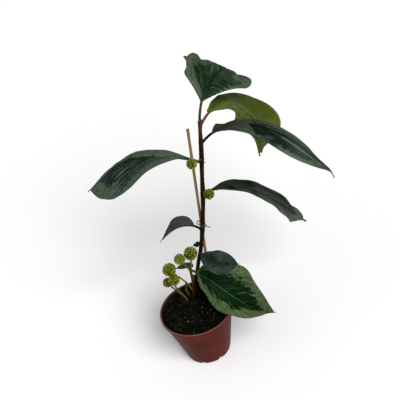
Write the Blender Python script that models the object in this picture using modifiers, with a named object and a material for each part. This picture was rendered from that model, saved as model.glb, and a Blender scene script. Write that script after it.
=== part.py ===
"""Potted elatostema: a thin nursery pot of soil, a staked main stem, a side shoot, leaves and flower heads.

Sizes and places are in millimetres and angles in degrees. The origin is the centre of the pot's flat
bottom and +Z is up. Run it with blender --background --python part.py, or from the text editor.
"""

import math

import bmesh
import bpy
import numpy as np
from mathutils import noise

MM = 0.001
COLLECTION = "potted_elatostema"
SEAT_GAP = 0.3

# Pot: a round tapered shell with a small lip and drain openings round its foot.
POT_HEIGHT = 55.5
POT_RIM_RADIUS = 35.0
POT_FOOT_RADIUS = 21.6
POT_WALL = 0.9
POT_LIP = (0.7, 1.8)
POT_FLOOR = 1.2
POT_FOOT_EDGE = 1.2
POT_ROUND = 0.35
POT_STEPS = 48
DRAIN_COUNT = 8
DRAIN_RADIUS = 2.4
DRAIN_RISE = 0.9

# Soil: a plug that fills the pot to a little below the rim, with a lumpy top.
SOIL_LEVEL = 52.0
SOIL_DOME = 0.6
SOIL_LUMP = 0.8
SOIL_LUMP_SIZE = 6.0
SOIL_EDGE = 1.5
SOIL_FOOT = 4.5
SOIL_RINGS = 5
SOIL_STEPS = 32

# Stems: points along each centre line from its foot in the soil, and the radius there.
STEM_SAMPLES = 2
CLEARANCE_SIDES = 12
MAIN_STEM = [
    (-6.0, 16.4, 40.0, 1.9), (-1.0, 18.0, 51.0, 2.0), (6.6, 20.3, 68.0, 1.9), (14.5, 23.2, 88.5, 1.9),
    (19.2, 24.7, 99.0, 2.0), (23.3, 26.4, 110.5, 1.9), (26.5, 27.7, 120.5, 2.3), (31.8, 30.3, 138.5, 1.9),
    (36.4, 32.8, 157.0, 2.3), (39.9, 35.1, 173.0, 1.9), (44.0, 37.6, 190.5, 2.2), (47.2, 39.5, 205.0, 2.1),
    (49.4, 41.1, 216.0, 1.7), (51.4, 42.2, 224.0, 2.1), (51.8, 42.5, 227.0, 0.9),
]
SIDE_SHOOT = [
    (-2.4, 14.4, 41.0, 1.1), (-1.0, 15.0, 51.0, 1.1), (2.0, 15.8, 62.0, 1.1), (4.0, 16.6, 74.0, 1.15),
    (5.3, 17.4, 86.0, 1.3), (5.6, 17.5, 89.5, 0.8),
]
STAKE_SIDES = 12
STAKE_RADIUS = 1.25
STAKE_FOOT = (15.2, 18.2, 30.0)
STAKE_TOP = (39.5, 45.4, 218.8)

# Short green stalks that come up beside the stems: foot, middle and top, and a radius.
BASAL_STALKS = [
    ((5.0, 27.0, 44.0), (4.6, 26.4, 58.0), (6.4, 25.4, 72.0), 1.2),
    ((-5.0, 25.5, 44.0), (-4.6, 25.0, 56.0), (-3.0, 24.4, 66.0), 1.2),
    ((-2.4, 21.6, 44.0), (-3.4, 21.4, 54.0), (-5.2, 21.2, 61.0), 1.0),
]

# Wire tie: a curled end, turns round the stem and the stake, and a straight end. The turns run from
# one angle to another in steps, drop by so much each and slope down to the right.
TIE_RADIUS = 0.42
TIE_SEARCH = 8
TIE_HEIGHT = 127.4
TIE_SLACK = 0.5
TIE_DROP = 1.3
TIE_SLOPE = 0.28
TIE_ANGLES = (125, 600, 19)
TIE_CURL = [(27.0, 25.0, 133.2), (25.7, 25.0, 134.6), (23.8, 25.0, 133.7), (23.9, 25.0, 131.4)]
TIE_END = [(34.4, 25.6, 122.8)]

LEAF_THICKNESS = 0.7
LEAF_GRID = {"large": (18, 6), "small": (10, 4)}
LARGE_LEAF = 30.0
ROW_CROWDING = 0.05
LINE_STEPS = 96

# A leaf's stalk: how much thicker than the strip along the blade's middle it is, how far under the
# blade it lies, and the share of the blade that it runs along before it ends, tapered.
STALK_SIDES = 8
STALK_EXTRA = 0.15
STALK_DROP = 0.35
STALK_REACH = 0.14
STALK_TAPER = 0.5
STALK_POINTS = 8


class Leaf:
    """One leaf with its stalk, as lengths in millimetres and angles in degrees.

    heading and climb turn its line at the foot, the middle and the tip. left and right give, for each
    half of the blade, how far it folds down at the base and at the tip and how much it curls under.
    wave is the ripple of the margin: its height, its count along the blade and its phase. Each of the
    lobes is a hand (1 right, -1 left), a place along the blade, a spread, a widening and a lift. Each
    of the dents is a place across and along the blade, its reach across and along, and a lift.
    """

    def __init__(self, foot, stalk, length, width, heading, climb, twist=(0, 0), left=(0, 0, 12),
                 right=(0, 0, 12), lean=0.0, shape=(0.75, 1.1), tail=0.08, wave=(0.8, 3.0, 0.0),
                 strip=(1.1, 0.45), lobes=(), dents=()):
        self.foot, self.stalk, self.length, self.width = foot, stalk, length, width
        self.heading, self.climb, self.twist = heading, climb, twist
        self.left, self.right, self.lean = left, right, lean
        self.shape, self.tail, self.wave, self.strip = shape, tail, wave, strip
        self.lobes, self.dents = lobes, dents


LEAVES = {
    "leaf_01": Leaf((50.8, 42.6, 223), 18, 83, 30, (60, 53, 86), (60, -4, -77), (-25, -28),
                    (-32, 6, 21), (-25, 5, 29), 0, (1.2, 1.2), wave=(1.8, 2.1, -65),
                    lobes=[(1, 0.58, 0.16, 0.09, 5), (-1, 0.6, 0.18, -0.02, -5.9),
                           (-1, 0.18, 0.05, 0.25, 0.7), (-1, 0.355, 0.02, 0.12, 0),
                           (-1, 0.49, 0.06, -0.07, 3.3)],
                    dents=[(-0.7, 0.41, 0.13, 0.18, -3.8), (0.12, 0.45, 0.31, 0.2, -3.4),
                           (0.6, 0.6, 0.13, 0.14, -3.3), (1, 0.64, 0.23, 0.11, 0.5)]),
    "leaf_02": Leaf((52, 42, 222), 11.2, 105, 23.7, (15, 24, -128), (49, -64, -91), (-19, -66),
                    (7, -7, 40), (6, 44, 22), -0.28, (1.08, 0.3), tail=0.05, wave=(0.9, 4.3, -70),
                    lobes=[(-1, 0.91, 0.12, -0.77, -1.6), (1, 0.09, 0.09, 0.76, -0.6),
                           (-1, 0.06, 0.09, 0.38, 3.7)]),
    "leaf_03": Leaf((47, 39.4, 204), 15, 128, 20, (2, -18, -24), (45, -36, -54), (16, -6),
                    (18, 28, -18), (-19, 38, 23), 0.05, (0.65, 1.1), tail=0.05, wave=(1.4, 1, -95),
                    lobes=[(-1, 0.03, 0.03, 0.32, 3.8), (-1, 0.81, 0.1, -0.03, -1.9),
                           (-1, 0.89, 0.05, 0.33, -1.2)],
                    dents=[(0, 1.02, 3, 0.07, -3.9), (0, 0.94, 3, 0.07, 1.3)]),
    "leaf_04": Leaf((43, 37.1, 186.6), 10.7, 107, 21.8, (168, 169, 157), (40, -11, -33), (-8, 25),
                    (-22, 8, 6), (-21, 19, 16), -0.24, (1.17, 0.86), tail=0.03, wave=(0.6, 3.1, -79),
                    lobes=[(1, 0.68, 0.03, 0.04, 0), (1, 0.82, 0.03, 0.1, 0), (-1, 0.9, 0.05, 0.12, 0),
                           (-1, 0.97, 0.02, -0.4, 0)]),
    "leaf_05": Leaf((36.6, 32.9, 157.5), 10.5, 118, 16.7, (26, 14, -23), (-12, -47, -53), (-22, -5),
                    (-7, -11, 22), (-22, 6, -8), -0.04, (0.87, 0.55), tail=0.03, wave=(-0.5, 3.4, -64),
                    lobes=[(-1, 0.85, 0.04, -0.18, -1.2), (1, 0.83, 0.035, 0.19, -1.1),
                           (1, 0.96, 0.05, -0.48, 0.8), (-1, 1, 0.04, 0.24, 1.6)]),
    "leaf_06": Leaf((26.4, 27.8, 120.4), 9, 37, 10.5, (123, 186, 188), (27, 0, -43), (26, 16),
                    (-50, -54, -18), (-27, 23, 36), 0.1, (0.9, 1.3)),
    "leaf_07": Leaf((18.8, 24.5, 97.6), 6, 48, 11, (-94, -47, -42), (37, 0, 30), (-22, -33),
                    (1, 11, 10), (24, 15, -22), -0.05, (1, 0.9), tail=0.03),
    "leaf_08": Leaf((5.4, 17.4, 87), 6, 84.3, 25.1, (-43, -41, -29), (-7, -33, 12), (-37, 33),
                    (10, -6, -10), (7, -6, 38), -0.26, (0.96, 0.95), tail=0.02, wave=(1.2, 2.6, -78),
                    lobes=[(1, 0.09, 0.08, 0.4, 0), (-1, 0.03, 0.05, 1.0, 0), (1, 0.94, 0.05, -0.45, 0)]),
    "leaf_09": Leaf((5, 18.6, 86.6), 1.5, 18.5, 5.8, (71, 156, 173), (11, -11, -14), (-17, -9),
                    (-5, -3, 18), (-8, -8, 22), 0.07, (0.62, 1.02), tail=0.08, wave=(0.1, 2, 0)),
    "leaf_10": Leaf((21.8, 26.2, 108), 1, 7.5, 4.3, (176, 177, 166), (6, -6, -54), (3, -15),
                    (-2, 9, 29), (6, 3, 28), 0, (0.7, 1.05), wave=(0.1, 2, 0)),
}

# Flower heads: centre, radius, and the points of the stalk that carries it, from its foot.
HEADS = {
    "head_1": ((10.0, 19.0, 105.0), 6.4, [(5.6, 17.4, 86.0), (7.8, 18.4, 94.0)]),
    "head_2": ((-1.1, 14.8, 105.7), 5.1, [(5.0, 17.3, 86.0), (2.0, 16.3, 95.0)]),
    "head_3": ((-13.4, 19.0, 93.1), 6.4, [(1.6, 15.9, 61.0), (-1.8, 18.0, 72.0), (-10.2, 19.2, 86.5)]),
    "head_4": ((-11.6, 7.2, 90.1), 5.4, [(-6.2, 15.8, 42.0), (-6.8, 14.8, 56.0), (-12.6, 10.6, 79.0)]),
    "head_5": ((-19.0, 18.0, 79.4), 4.4, [(-8.0, 19.8, 42.0), (-8.8, 19.4, 54.0), (-16.8, 18.2, 73.5)]),
    "head_6": ((34.2, 29.4, 193.6), 4.8, [(43.6, 36.6, 190.5), (39.6, 33.0, 192.4)]),
    "head_7": ((41.5, 28.0, 158.0), 4.9, [(36.0, 32.6, 155.0), (38.0, 30.8, 156.2)]),
}
HEAD_FLORETS = 62
HEAD_CORE = 0.88
FACET_DEPTH = 0.04
HEAD_STALK_RADIUS = 0.75

COLOURS = {
    "pot": ((0.098, 0.028, 0.016), 0.45),
    "soil": ((0.004, 0.005, 0.003), 0.95),
    "stem": ((0.025, 0.009, 0.004), 0.55),
    "shoot": ((0.045, 0.016, 0.006), 0.55),
    "green": ((0.060, 0.075, 0.018), 0.6),
    "wood": ((0.40, 0.22, 0.09), 0.8),
    "wire": ((0.010, 0.020, 0.015), 0.4),
    "leaf": ((0.016, 0.034, 0.017), 0.45),
    "young_leaf": ((0.060, 0.095, 0.014), 0.5),
    "head": ((0.070, 0.085, 0.010), 0.7),
}


def clear_scene():
    for item in list(bpy.context.scene.objects):
        bpy.data.objects.remove(item, do_unlink=True)


def make_collections():
    made = []
    for name in (COLLECTION, "cutters"):
        group = bpy.data.collections.new(name)
        bpy.context.scene.collection.children.link(group)
        made.append(group)
    return made


def material(kind):
    found = bpy.data.materials.get(kind)
    if found:
        return found
    colour, roughness = COLOURS[kind]
    found = bpy.data.materials.new(kind)
    found.use_nodes = True
    shader = found.node_tree.nodes["Principled BSDF"]
    shader.inputs["Base Color"].default_value = (*colour, 1.0)
    shader.inputs["Roughness"].default_value = roughness
    shader.inputs["Metallic"].default_value = 0.0
    return found


def place(item, group, kind):
    """Puts an object in its collection with a material of its own."""
    for owner in list(item.users_collection):
        owner.objects.unlink(item)
    group.objects.link(item)
    item.data.materials.clear()
    own = material(kind).copy()
    own.name = item.name + "_" + kind
    item.data.materials.append(own)
    return item


def as_cutter(item, group):
    for owner in list(item.users_collection):
        owner.objects.unlink(item)
    group.objects.link(item)
    item.hide_render = True
    item.display_type = "WIRE"
    return item


def smooth_path(points, samples):
    """Points on a Catmull-Rom curve through rows of numbers, samples to a span."""
    rows = np.array(points, float)
    ends = np.vstack([2 * rows[0] - rows[1], rows, 2 * rows[-1] - rows[-2]])
    path = []
    for k in range(1, len(ends) - 2):
        a, b, c, d = ends[k - 1:k + 3]
        for t in np.arange(samples) / samples:
            path.append(0.5 * (2 * b + (c - a) * t + (2 * a - 5 * b + 4 * c - d) * t ** 2
                               + (3 * b - a - 3 * c + d) * t ** 3))
    path.append(rows[-1])
    return np.array(path)


def tube(name, points, radii, sides=STALK_SIDES):
    """A closed tube mesh along points, made as a curve and then welded."""
    curve = bpy.data.curves.new(name, "CURVE")
    curve.dimensions = "3D"
    curve.bevel_depth = MM
    curve.bevel_resolution = sides // 4
    curve.use_fill_caps = True
    spline = curve.splines.new("POLY")
    spline.points.add(len(points) - 1)
    for dot, point, radius in zip(spline.points, points, radii):
        dot.co = (*(np.array(point) * MM), 1.0)
        dot.radius = radius
    source = bpy.data.objects.new(name + "_curve", curve)
    bpy.context.scene.collection.objects.link(source)
    evaluated = source.evaluated_get(bpy.context.evaluated_depsgraph_get())
    mesh = bpy.data.meshes.new_from_object(evaluated)
    mesh.name = name
    item = bpy.data.objects.new(name, mesh)
    item.matrix_world = source.matrix_world
    bpy.data.objects.remove(source, do_unlink=True)
    weld(mesh)
    bpy.context.scene.collection.objects.link(item)
    return item


def weld(mesh):
    work = bmesh.new()
    work.from_mesh(mesh)
    bmesh.ops.remove_doubles(work, verts=work.verts, dist=1e-6)
    work.to_mesh(mesh)
    work.free()


def revolve(name, profile, steps):
    """A turned solid from (radius, height) points that run down its outer side."""
    mesh = bpy.data.meshes.new(name)
    points = [(radius * MM, 0.0, height * MM) for radius, height in profile]
    mesh.from_pydata(points, [(k, k + 1) for k in range(len(points) - 1)], [])
    item = bpy.data.objects.new(name, mesh)
    bpy.context.scene.collection.objects.link(item)
    screw = item.modifiers.new("turn", "SCREW")
    screw.steps = steps
    screw.render_steps = steps
    screw.use_merge_vertices = True
    screw.merge_threshold = 1e-5
    bpy.context.view_layer.update()
    turned = bpy.data.meshes.new_from_object(item.evaluated_get(bpy.context.evaluated_depsgraph_get()))
    item.modifiers.clear()
    item.data = turned
    turned.name = name
    weld(turned)
    return item


def boolean(item, operation, *others):
    for other in others:
        step = item.modifiers.new(operation.lower() + "_" + other.name, "BOOLEAN")
        step.operation = operation
        step.solver = "EXACT"
        step.object = other


def wall_radius(height, offset=0.0):
    """Outer radius of the pot's tapered wall, less an offset measured across the wall."""
    share = height / POT_HEIGHT
    return POT_FOOT_RADIUS + (POT_RIM_RADIUS - POT_LIP[0] - POT_FOOT_RADIUS) * share - offset


def make_pot(group, cutters):
    lip_out, lip_deep = POT_LIP
    lip_foot = POT_HEIGHT - lip_deep
    inner_top = POT_RIM_RADIUS - lip_out - POT_WALL
    profile = [
        (POT_RIM_RADIUS - POT_ROUND, POT_HEIGHT), (POT_RIM_RADIUS, POT_HEIGHT - POT_ROUND),
        (POT_RIM_RADIUS, lip_foot), (wall_radius(lip_foot), lip_foot - POT_ROUND),
        (wall_radius(POT_FOOT_EDGE), POT_FOOT_EDGE), (POT_FOOT_RADIUS - POT_FOOT_EDGE, 0.0), (0.0, 0.0),
    ]
    inside = [
        (0.0, POT_FLOOR), (POT_FOOT_RADIUS - POT_FOOT_EDGE - POT_WALL, POT_FLOOR),
        (wall_radius(POT_FOOT_EDGE + POT_FLOOR, POT_WALL), POT_FOOT_EDGE + POT_FLOOR),
        (inner_top, POT_HEIGHT - POT_ROUND), (inner_top + POT_ROUND, POT_HEIGHT), profile[0],
    ]
    pot = place(revolve("pot", profile + inside, POT_STEPS), group, "pot")
    pot.data.shade_smooth()
    pot.data.set_sharp_from_angle(angle=math.radians(35))
    drains = []
    for k in range(DRAIN_COUNT):
        angle = (k + 0.5) * 2 * math.pi / DRAIN_COUNT
        reach = POT_FOOT_RADIUS * MM
        bpy.ops.mesh.primitive_cylinder_add(
            vertices=10, radius=DRAIN_RADIUS * MM, depth=2 * DRAIN_RADIUS * MM,
            location=(reach * math.cos(angle), reach * math.sin(angle), DRAIN_RISE * MM),
            rotation=(0.0, math.pi / 2, angle))
        drain = as_cutter(bpy.context.object, cutters)
        drain.name = f"drain_{k + 1}"
        drains.append(drain)
    boolean(pot, "DIFFERENCE", *drains)
    return pot


def make_soil(group):
    inner = POT_WALL + SEAT_GAP
    floor = POT_FLOOR + SEAT_GAP
    shoulder = SOIL_LEVEL - SOIL_EDGE
    side = wall_radius(shoulder, inner)
    profile = [(side, shoulder), (wall_radius(floor + SOIL_FOOT, inner), floor + SOIL_FOOT),
               (POT_FOOT_RADIUS - SOIL_FOOT, floor), (0.0, floor)]
    rings = [(side * (1 - k / SOIL_RINGS), SOIL_LEVEL + SOIL_DOME * (1 - (1 - k / SOIL_RINGS) ** 2))
             for k in range(SOIL_RINGS, 0, -1)]
    soil = revolve("soil", [*rings, *profile], SOIL_STEPS)
    for vertex in soil.data.vertices:
        if vertex.co.z > (shoulder + SOIL_EDGE / 2) * MM:
            lump = noise.noise(vertex.co / (SOIL_LUMP_SIZE * MM))
            vertex.co.z += SOIL_LUMP * MM * lump
    return place(soil, group, "soil")


def make_stem(name, rows, group, kind):
    path = smooth_path(rows, STEM_SAMPLES)
    return place(tube(name, path[:, :3], path[:, 3]), group, kind)


def stem_clearance(name, rows, cutters):
    """A tube a gap wider and longer than the stem, which cuts its seat in what it meets."""
    path = smooth_path(rows, STEM_SAMPLES)
    for end, inner in ((0, 1), (-1, -2)):
        outward = path[end, :3] - path[inner, :3]
        path[end, :3] += outward / np.linalg.norm(outward) * SEAT_GAP * 2
    return as_cutter(tube(name, path[:, :3], path[:, 3] + SEAT_GAP, CLEARANCE_SIDES), cutters)


def make_stake(group, cutters):
    foot, top = np.array(STAKE_FOOT), np.array(STAKE_TOP)
    place(tube("stake", [foot, top], [STAKE_RADIUS] * 2, STAKE_SIDES), group, "wood")
    return stem_clearance("stake_clearance", [(*foot, STAKE_RADIUS), (*top, STAKE_RADIUS)], cutters)


def make_tie(group):
    """A wire wound round the stem and the stake, ending in a curl on the left and a straight end."""
    stem = smooth_path(MAIN_STEM, TIE_SEARCH)
    *near, stem_radius = stem[np.argmin(abs(stem[:, 2] - TIE_HEIGHT))]
    foot, top = np.array(STAKE_FOOT), np.array(STAKE_TOP)
    far = foot + (top - foot) * (TIE_HEIGHT - foot[2]) / (top[2] - foot[2])
    lean = (top - foot) / np.linalg.norm(top - foot)
    across = (far - near) - lean * ((far - near) @ lean)
    across /= np.linalg.norm(across)
    side = np.cross(lean, across)
    clear = TIE_RADIUS + TIE_SLACK
    start, end, step = np.radians(TIE_ANGLES)
    turns = []
    for angle in np.arange(start, end + step / 2, step):
        round_stem = math.cos(angle) < 0
        reach = clear + (stem_radius if round_stem else STAKE_RADIUS)
        centre = np.array(near if round_stem else far)
        out = reach * (across * math.cos(angle) + side * math.sin(angle))
        down = TIE_DROP * (angle - start) / (2 * math.pi) + TIE_SLOPE * out[0]
        turns.append(centre + out - lean * down)
    path = smooth_path([*TIE_CURL, *turns, *TIE_END], STEM_SAMPLES)
    return place(tube("wire_tie", path, [TIE_RADIUS] * len(path)), group, "wire")


def points_on_line(leaf, share):
    """Points at shares of the leaf's line, which is walked from its foot in even steps."""
    steps = np.linspace(0, 1, LINE_STEPS + 1)
    forward = leaf_axes(leaf, steps)[0]
    moves = (forward[1:] + forward[:-1]) / 2 * (leaf.stalk + leaf.length) / LINE_STEPS
    line = np.vstack([np.zeros(3), np.cumsum(moves, axis=0)]) + np.array(leaf.foot)
    return np.column_stack([np.interp(share, steps, line[:, k]) for k in range(3)])


def curve_through(values, share):
    foot, middle, tip = values
    return (foot + (4 * middle - 3 * foot - tip) * share + (2 * foot - 4 * middle + 2 * tip) * share ** 2)


def ease(start, end, share):
    return start + (end - start) * share ** 2 * (3 - 2 * share)


def leaf_axes(leaf, share):
    """Forward, right and up of the leaf at shares of its line from foot to tip."""
    heading = np.radians(curve_through(leaf.heading, share))
    climb = np.radians(curve_through(leaf.climb, share))
    twist = np.radians(ease(*leaf.twist, share))[:, None]
    forward = np.column_stack([np.cos(climb) * np.cos(heading), np.cos(climb) * np.sin(heading),
                               np.sin(climb)])
    level = np.column_stack([np.sin(heading), -np.cos(heading), np.zeros_like(heading)])
    upright = np.cross(level, forward)
    right = np.cos(twist) * level + np.sin(twist) * upright
    return forward, right, np.cos(twist) * upright - np.sin(twist) * level


def half_width(leaf, along):
    rise, fall = leaf.shape
    peak = rise / (rise + fall)
    reach = np.clip(along / (1 - leaf.tail), 0, 1)
    blade = leaf.width * (reach / peak) ** rise * ((1 - reach) / (1 - peak)) ** fall
    strip = leaf.strip[0] + (leaf.strip[1] - leaf.strip[0]) * along
    return np.hypot(blade, strip)


def cross_section(fold, curl, reach):
    """How far out and down a margin lies that starts folded down and curls under, at a unit width."""
    end = fold + curl * reach
    return (np.sin(end) - np.sin(fold)) / curl, (np.cos(end) - np.cos(fold)) / curl


def blade_points(leaf, along, across):
    """Points of the blade at shares along it, for one place across it from -1 to 1."""
    share = (leaf.stalk + along * leaf.length) / (leaf.stalk + leaf.length)
    centre = points_on_line(leaf, share)
    _, right, up = leaf_axes(leaf, share)
    hand = 1 if across >= 0 else -1
    fold_base, fold_tip, curl = leaf.right if hand > 0 else leaf.left
    fold = np.radians(ease(fold_base, fold_tip, along))
    out, drop = cross_section(fold, math.radians(curl or 0.1), abs(across))
    width = half_width(leaf, along) * (1 + hand * leaf.lean)
    height, count, phase = leaf.wave
    ripple = np.sin(2 * math.pi * count * along + math.radians(phase) * hand) * np.sin(math.pi * along)
    lift = height * abs(across) ** 1.5 * ripple
    for side, middle, spread, widening, rise in leaf.lobes:
        if side == hand:
            bump = np.exp(-((along - middle) / spread) ** 2)
            width = width * (1 + widening * bump)
            lift = lift + rise * across ** 2 * bump
    for place, middle, wide, long, rise in leaf.dents:
        lift = lift + rise * np.exp(-((across - place) / wide) ** 2 - ((along - middle) / long) ** 2)
    lift = lift + drop * width
    return centre + hand * (out * width)[:, None] * right + lift[:, None] * up


def make_leaf(name, leaf, group, cutters, clearances):
    """A thin blade lofted along the leaf's line, joined to its stalk and cut clear of the stem."""
    rows, across_count = LEAF_GRID["large" if leaf.length > LARGE_LEAF else "small"]
    bpy.ops.mesh.primitive_grid_add(x_subdivisions=across_count, y_subdivisions=rows, size=2.0)
    blade = bpy.context.object
    blade.name = name
    mesh = blade.data
    along = np.linspace(0, 1, rows + 1)
    along = along - ROW_CROWDING * np.sin(2 * math.pi * along)
    columns = [blade_points(leaf, along, across) for across in np.linspace(-1, 1, across_count + 1)]
    for vertex in mesh.vertices:
        column = round((vertex.co.x + 1) / 2 * across_count)
        row = round((vertex.co.y + 1) / 2 * rows)
        vertex.co = columns[column][row] * MM
    work = bmesh.new()
    work.from_mesh(mesh)
    bmesh.ops.triangulate(work, faces=work.faces, quad_method="SHORT_EDGE")
    work.to_mesh(mesh)
    work.free()
    solid = blade.modifiers.new("thickness", "SOLIDIFY")
    solid.thickness = LEAF_THICKNESS * MM
    solid.offset = 0.0
    reach = (leaf.stalk + STALK_REACH * leaf.length) / (leaf.stalk + leaf.length)
    share = np.linspace(0, reach, STALK_POINTS)
    under = points_on_line(leaf, share) - leaf_axes(leaf, share)[2] * STALK_DROP
    thick = leaf.strip[0] + STALK_EXTRA
    stalk = tube(name + "_stalk", under, np.linspace(thick, thick * STALK_TAPER, STALK_POINTS))
    boolean(blade, "UNION", as_cutter(stalk, cutters))
    boolean(blade, "DIFFERENCE", *clearances)
    place(blade, group, "young_leaf" if name == "leaf_02" else "leaf")
    return blade


def sphere_points(count):
    """Evenly spread points on a unit sphere, along a spiral."""
    golden = math.pi * (3 - math.sqrt(5))
    heights = 1 - (np.arange(count) + 0.5) * 2 / count
    rings = np.sqrt(1 - heights ** 2)
    turns = golden * np.arange(count)
    return np.column_stack([rings * np.cos(turns), rings * np.sin(turns), heights])


def make_head(name, centre, radius, stalk_points, group, cutters, clearances):
    """A round head covered in three-sided florets, on a thin stalk."""
    core = radius * HEAD_CORE
    work = bmesh.new()
    for point in sphere_points(HEAD_FLORETS):
        work.verts.new((np.array(centre) + point * core) * MM)
    bmesh.ops.convex_hull(work, input=work.verts)
    bmesh.ops.poke(work, faces=work.faces, offset=(radius - core * (1 - FACET_DEPTH)) * MM)
    bmesh.ops.recalc_face_normals(work, faces=work.faces)
    mesh = bpy.data.meshes.new(name)
    work.to_mesh(mesh)
    work.free()
    head = bpy.data.objects.new(name, mesh)
    path = smooth_path([*stalk_points, centre], 3)
    stalk = tube(name + "_stalk", path, [HEAD_STALK_RADIUS] * len(path))
    boolean(head, "UNION", as_cutter(stalk, cutters))
    boolean(head, "DIFFERENCE", *clearances)
    return place(head, group, "head")


def main():
    clear_scene()
    group, cutters = make_collections()
    make_pot(group, cutters)
    soil = make_soil(group)
    make_stem("main_stem", MAIN_STEM, group, "stem")
    shoot = make_stem("side_shoot", SIDE_SHOOT, group, "shoot")
    stake_clearance = make_stake(group, cutters)
    main_clearance = stem_clearance("main_stem_clearance", MAIN_STEM, cutters)
    shoot_clearance = stem_clearance("side_shoot_clearance", SIDE_SHOOT, cutters)
    boolean(shoot, "DIFFERENCE", main_clearance)
    stems = (main_clearance, shoot_clearance)
    make_tie(group)
    holes = [*stems, stake_clearance]
    for k, (foot, middle, top, radius) in enumerate(BASAL_STALKS, 1):
        rows = [(*foot, radius), (*middle, radius), (*top, radius * 0.8)]
        make_stem(f"basal_stalk_{k}", rows, group, "green")
        holes.append(stem_clearance(f"basal_stalk_{k}_clearance", rows, cutters))
    for name, leaf in LEAVES.items():
        make_leaf(name, leaf, group, cutters, stems)
    for name, (centre, radius, points) in HEADS.items():
        make_head(name, centre, radius, points, group, cutters, stems)
        if points[0][2] < SOIL_LEVEL:
            rows = [(*point, HEAD_STALK_RADIUS) for point in points]
            holes.append(stem_clearance(name + "_stalk_clearance", rows, cutters))
    boolean(soil, "DIFFERENCE", *holes)


main()
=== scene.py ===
"""A staked foliage plant in a small nursery pot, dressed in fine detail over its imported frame."""
import math

import bpy
import numpy as np
from mathutils import Matrix, Vector, noise


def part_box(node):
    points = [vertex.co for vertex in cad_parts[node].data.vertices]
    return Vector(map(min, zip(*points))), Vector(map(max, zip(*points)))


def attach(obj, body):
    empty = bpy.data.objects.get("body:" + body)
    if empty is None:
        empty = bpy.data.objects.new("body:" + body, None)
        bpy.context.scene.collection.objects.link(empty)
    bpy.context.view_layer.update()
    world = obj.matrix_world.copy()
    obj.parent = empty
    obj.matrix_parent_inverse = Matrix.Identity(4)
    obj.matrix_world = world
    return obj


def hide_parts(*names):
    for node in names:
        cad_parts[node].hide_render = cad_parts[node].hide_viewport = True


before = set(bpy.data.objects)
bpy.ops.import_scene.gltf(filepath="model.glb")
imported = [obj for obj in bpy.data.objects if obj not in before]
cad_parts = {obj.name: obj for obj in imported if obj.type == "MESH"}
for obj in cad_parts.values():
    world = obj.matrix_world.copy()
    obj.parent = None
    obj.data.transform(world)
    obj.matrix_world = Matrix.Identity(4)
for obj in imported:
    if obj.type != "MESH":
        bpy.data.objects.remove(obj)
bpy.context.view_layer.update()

bl_info = {
    "name": "Potted Elatostema",
    "version": (1, 0, 0),
    "blender": (4, 5, 0),
    "location": "3D View > Sidebar > Plant",
    "description": "Builds a staked foliage plant with quilted leaves and round flower heads in a pot",
    "category": "Add Mesh",
}

MM = 0.001

# Pot and soil, in millimetres, as the solids have them. The lip stands out and reaches down by POT_LIP,
# its edges are rounded by POT_ROUND, and the foot is bevelled by POT_FOOT_EDGE. The soil rises by
# SOIL_DOME in the middle and by SOIL_HEAP at the wall. SOIL_EDGE_GAP keeps its top inside the solid's,
# and SOIL_FOOT_GAP keeps its foot off the pot's wall. SOIL_SHELL is how thick it is before its
# underside is moved down.
POT_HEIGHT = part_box("pot")[1].z / MM
POT_RIM_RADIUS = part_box("pot")[1].x / MM
POT_FOOT_RADIUS = 21.6
POT_LIP = (0.7, 1.8)
POT_FLOOR = 1.2
POT_FOOT_EDGE = 1.2
POT_ROUND = 0.35
POT_SIDES = 144
DRAIN_COUNT = 8
DRAIN_RADIUS = 2.4
DRAIN_RISE = 0.9
SOIL_LEVEL = 52.0
SOIL_DOME = 0.6
SOIL_HEAP = 1.1
SOIL_EDGE_GAP = 0.1
SOIL_FOOT_GAP = 0.6
SOIL_SHELL = 6.0

# What lies on the soil: its smallest and largest size, and how many pale specks there are.
CRUMB_SIZES = (0.35, 1.5)
MOSS_SIZES = (0.3, 0.75)
SPECK_SIZES = (0.25, 0.5)
SPECK_COUNT = 30

# Pale specks that lie plainly on the soil: place and size.
SPECKS = [(0.5, 8.6, 0.6), (5.6, 0.4, 0.6), (5.1, -5.4, 1.0), (12.6, -5.8, 0.7), (15.2, -11.3, 0.6),
          (-10.3, -12.3, 0.8), (-6.8, -13.4, 0.6), (-1.1, 14.1, 0.5), (9.0, -9.0, 0.5), (-12.5, -6.0, 0.5),
          (2.0, -15.5, 0.5), (-17.0, 3.0, 0.4), (18.0, -4.0, 0.5), (7.5, 6.5, 0.4), (-5.0, -8.5, 0.4)]

# Stems: points along each centre line from its foot in the soil, and the radius there. The main stem is
# thinned by BARK_RELIEF, and has a swollen joint at each point past JOINT_RADIUS above JOINT_LOWEST.
BARK_RELIEF = 0.05
JOINT_RADIUS = 2.05
JOINT_LOWEST = 100.0
MAIN_STEM = [
    (-6.0, 16.4, 40.0, 1.9), (-1.0, 18.0, 51.0, 2.0), (6.6, 20.3, 68.0, 1.9), (14.5, 23.2, 88.5, 1.9),
    (19.2, 24.7, 99.0, 2.0), (23.3, 26.4, 110.5, 1.9), (26.5, 27.7, 120.5, 2.3), (31.8, 30.3, 138.5, 1.9),
    (36.4, 32.8, 157.0, 2.3), (39.9, 35.1, 173.0, 1.9), (44.0, 37.6, 190.5, 2.2), (47.2, 39.5, 205.0, 2.1),
    (49.4, 41.1, 216.0, 1.7), (51.4, 42.2, 224.0, 2.1), (51.8, 42.5, 227.0, 0.9),
]
SIDE_SHOOT = [
    (-2.4, 14.4, 41.0, 1.1), (-1.0, 15.0, 51.0, 1.1), (2.0, 15.8, 62.0, 1.1), (4.0, 16.6, 74.0, 1.15),
    (5.3, 17.4, 86.0, 1.3), (5.6, 17.5, 89.5, 0.8),
]
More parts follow.
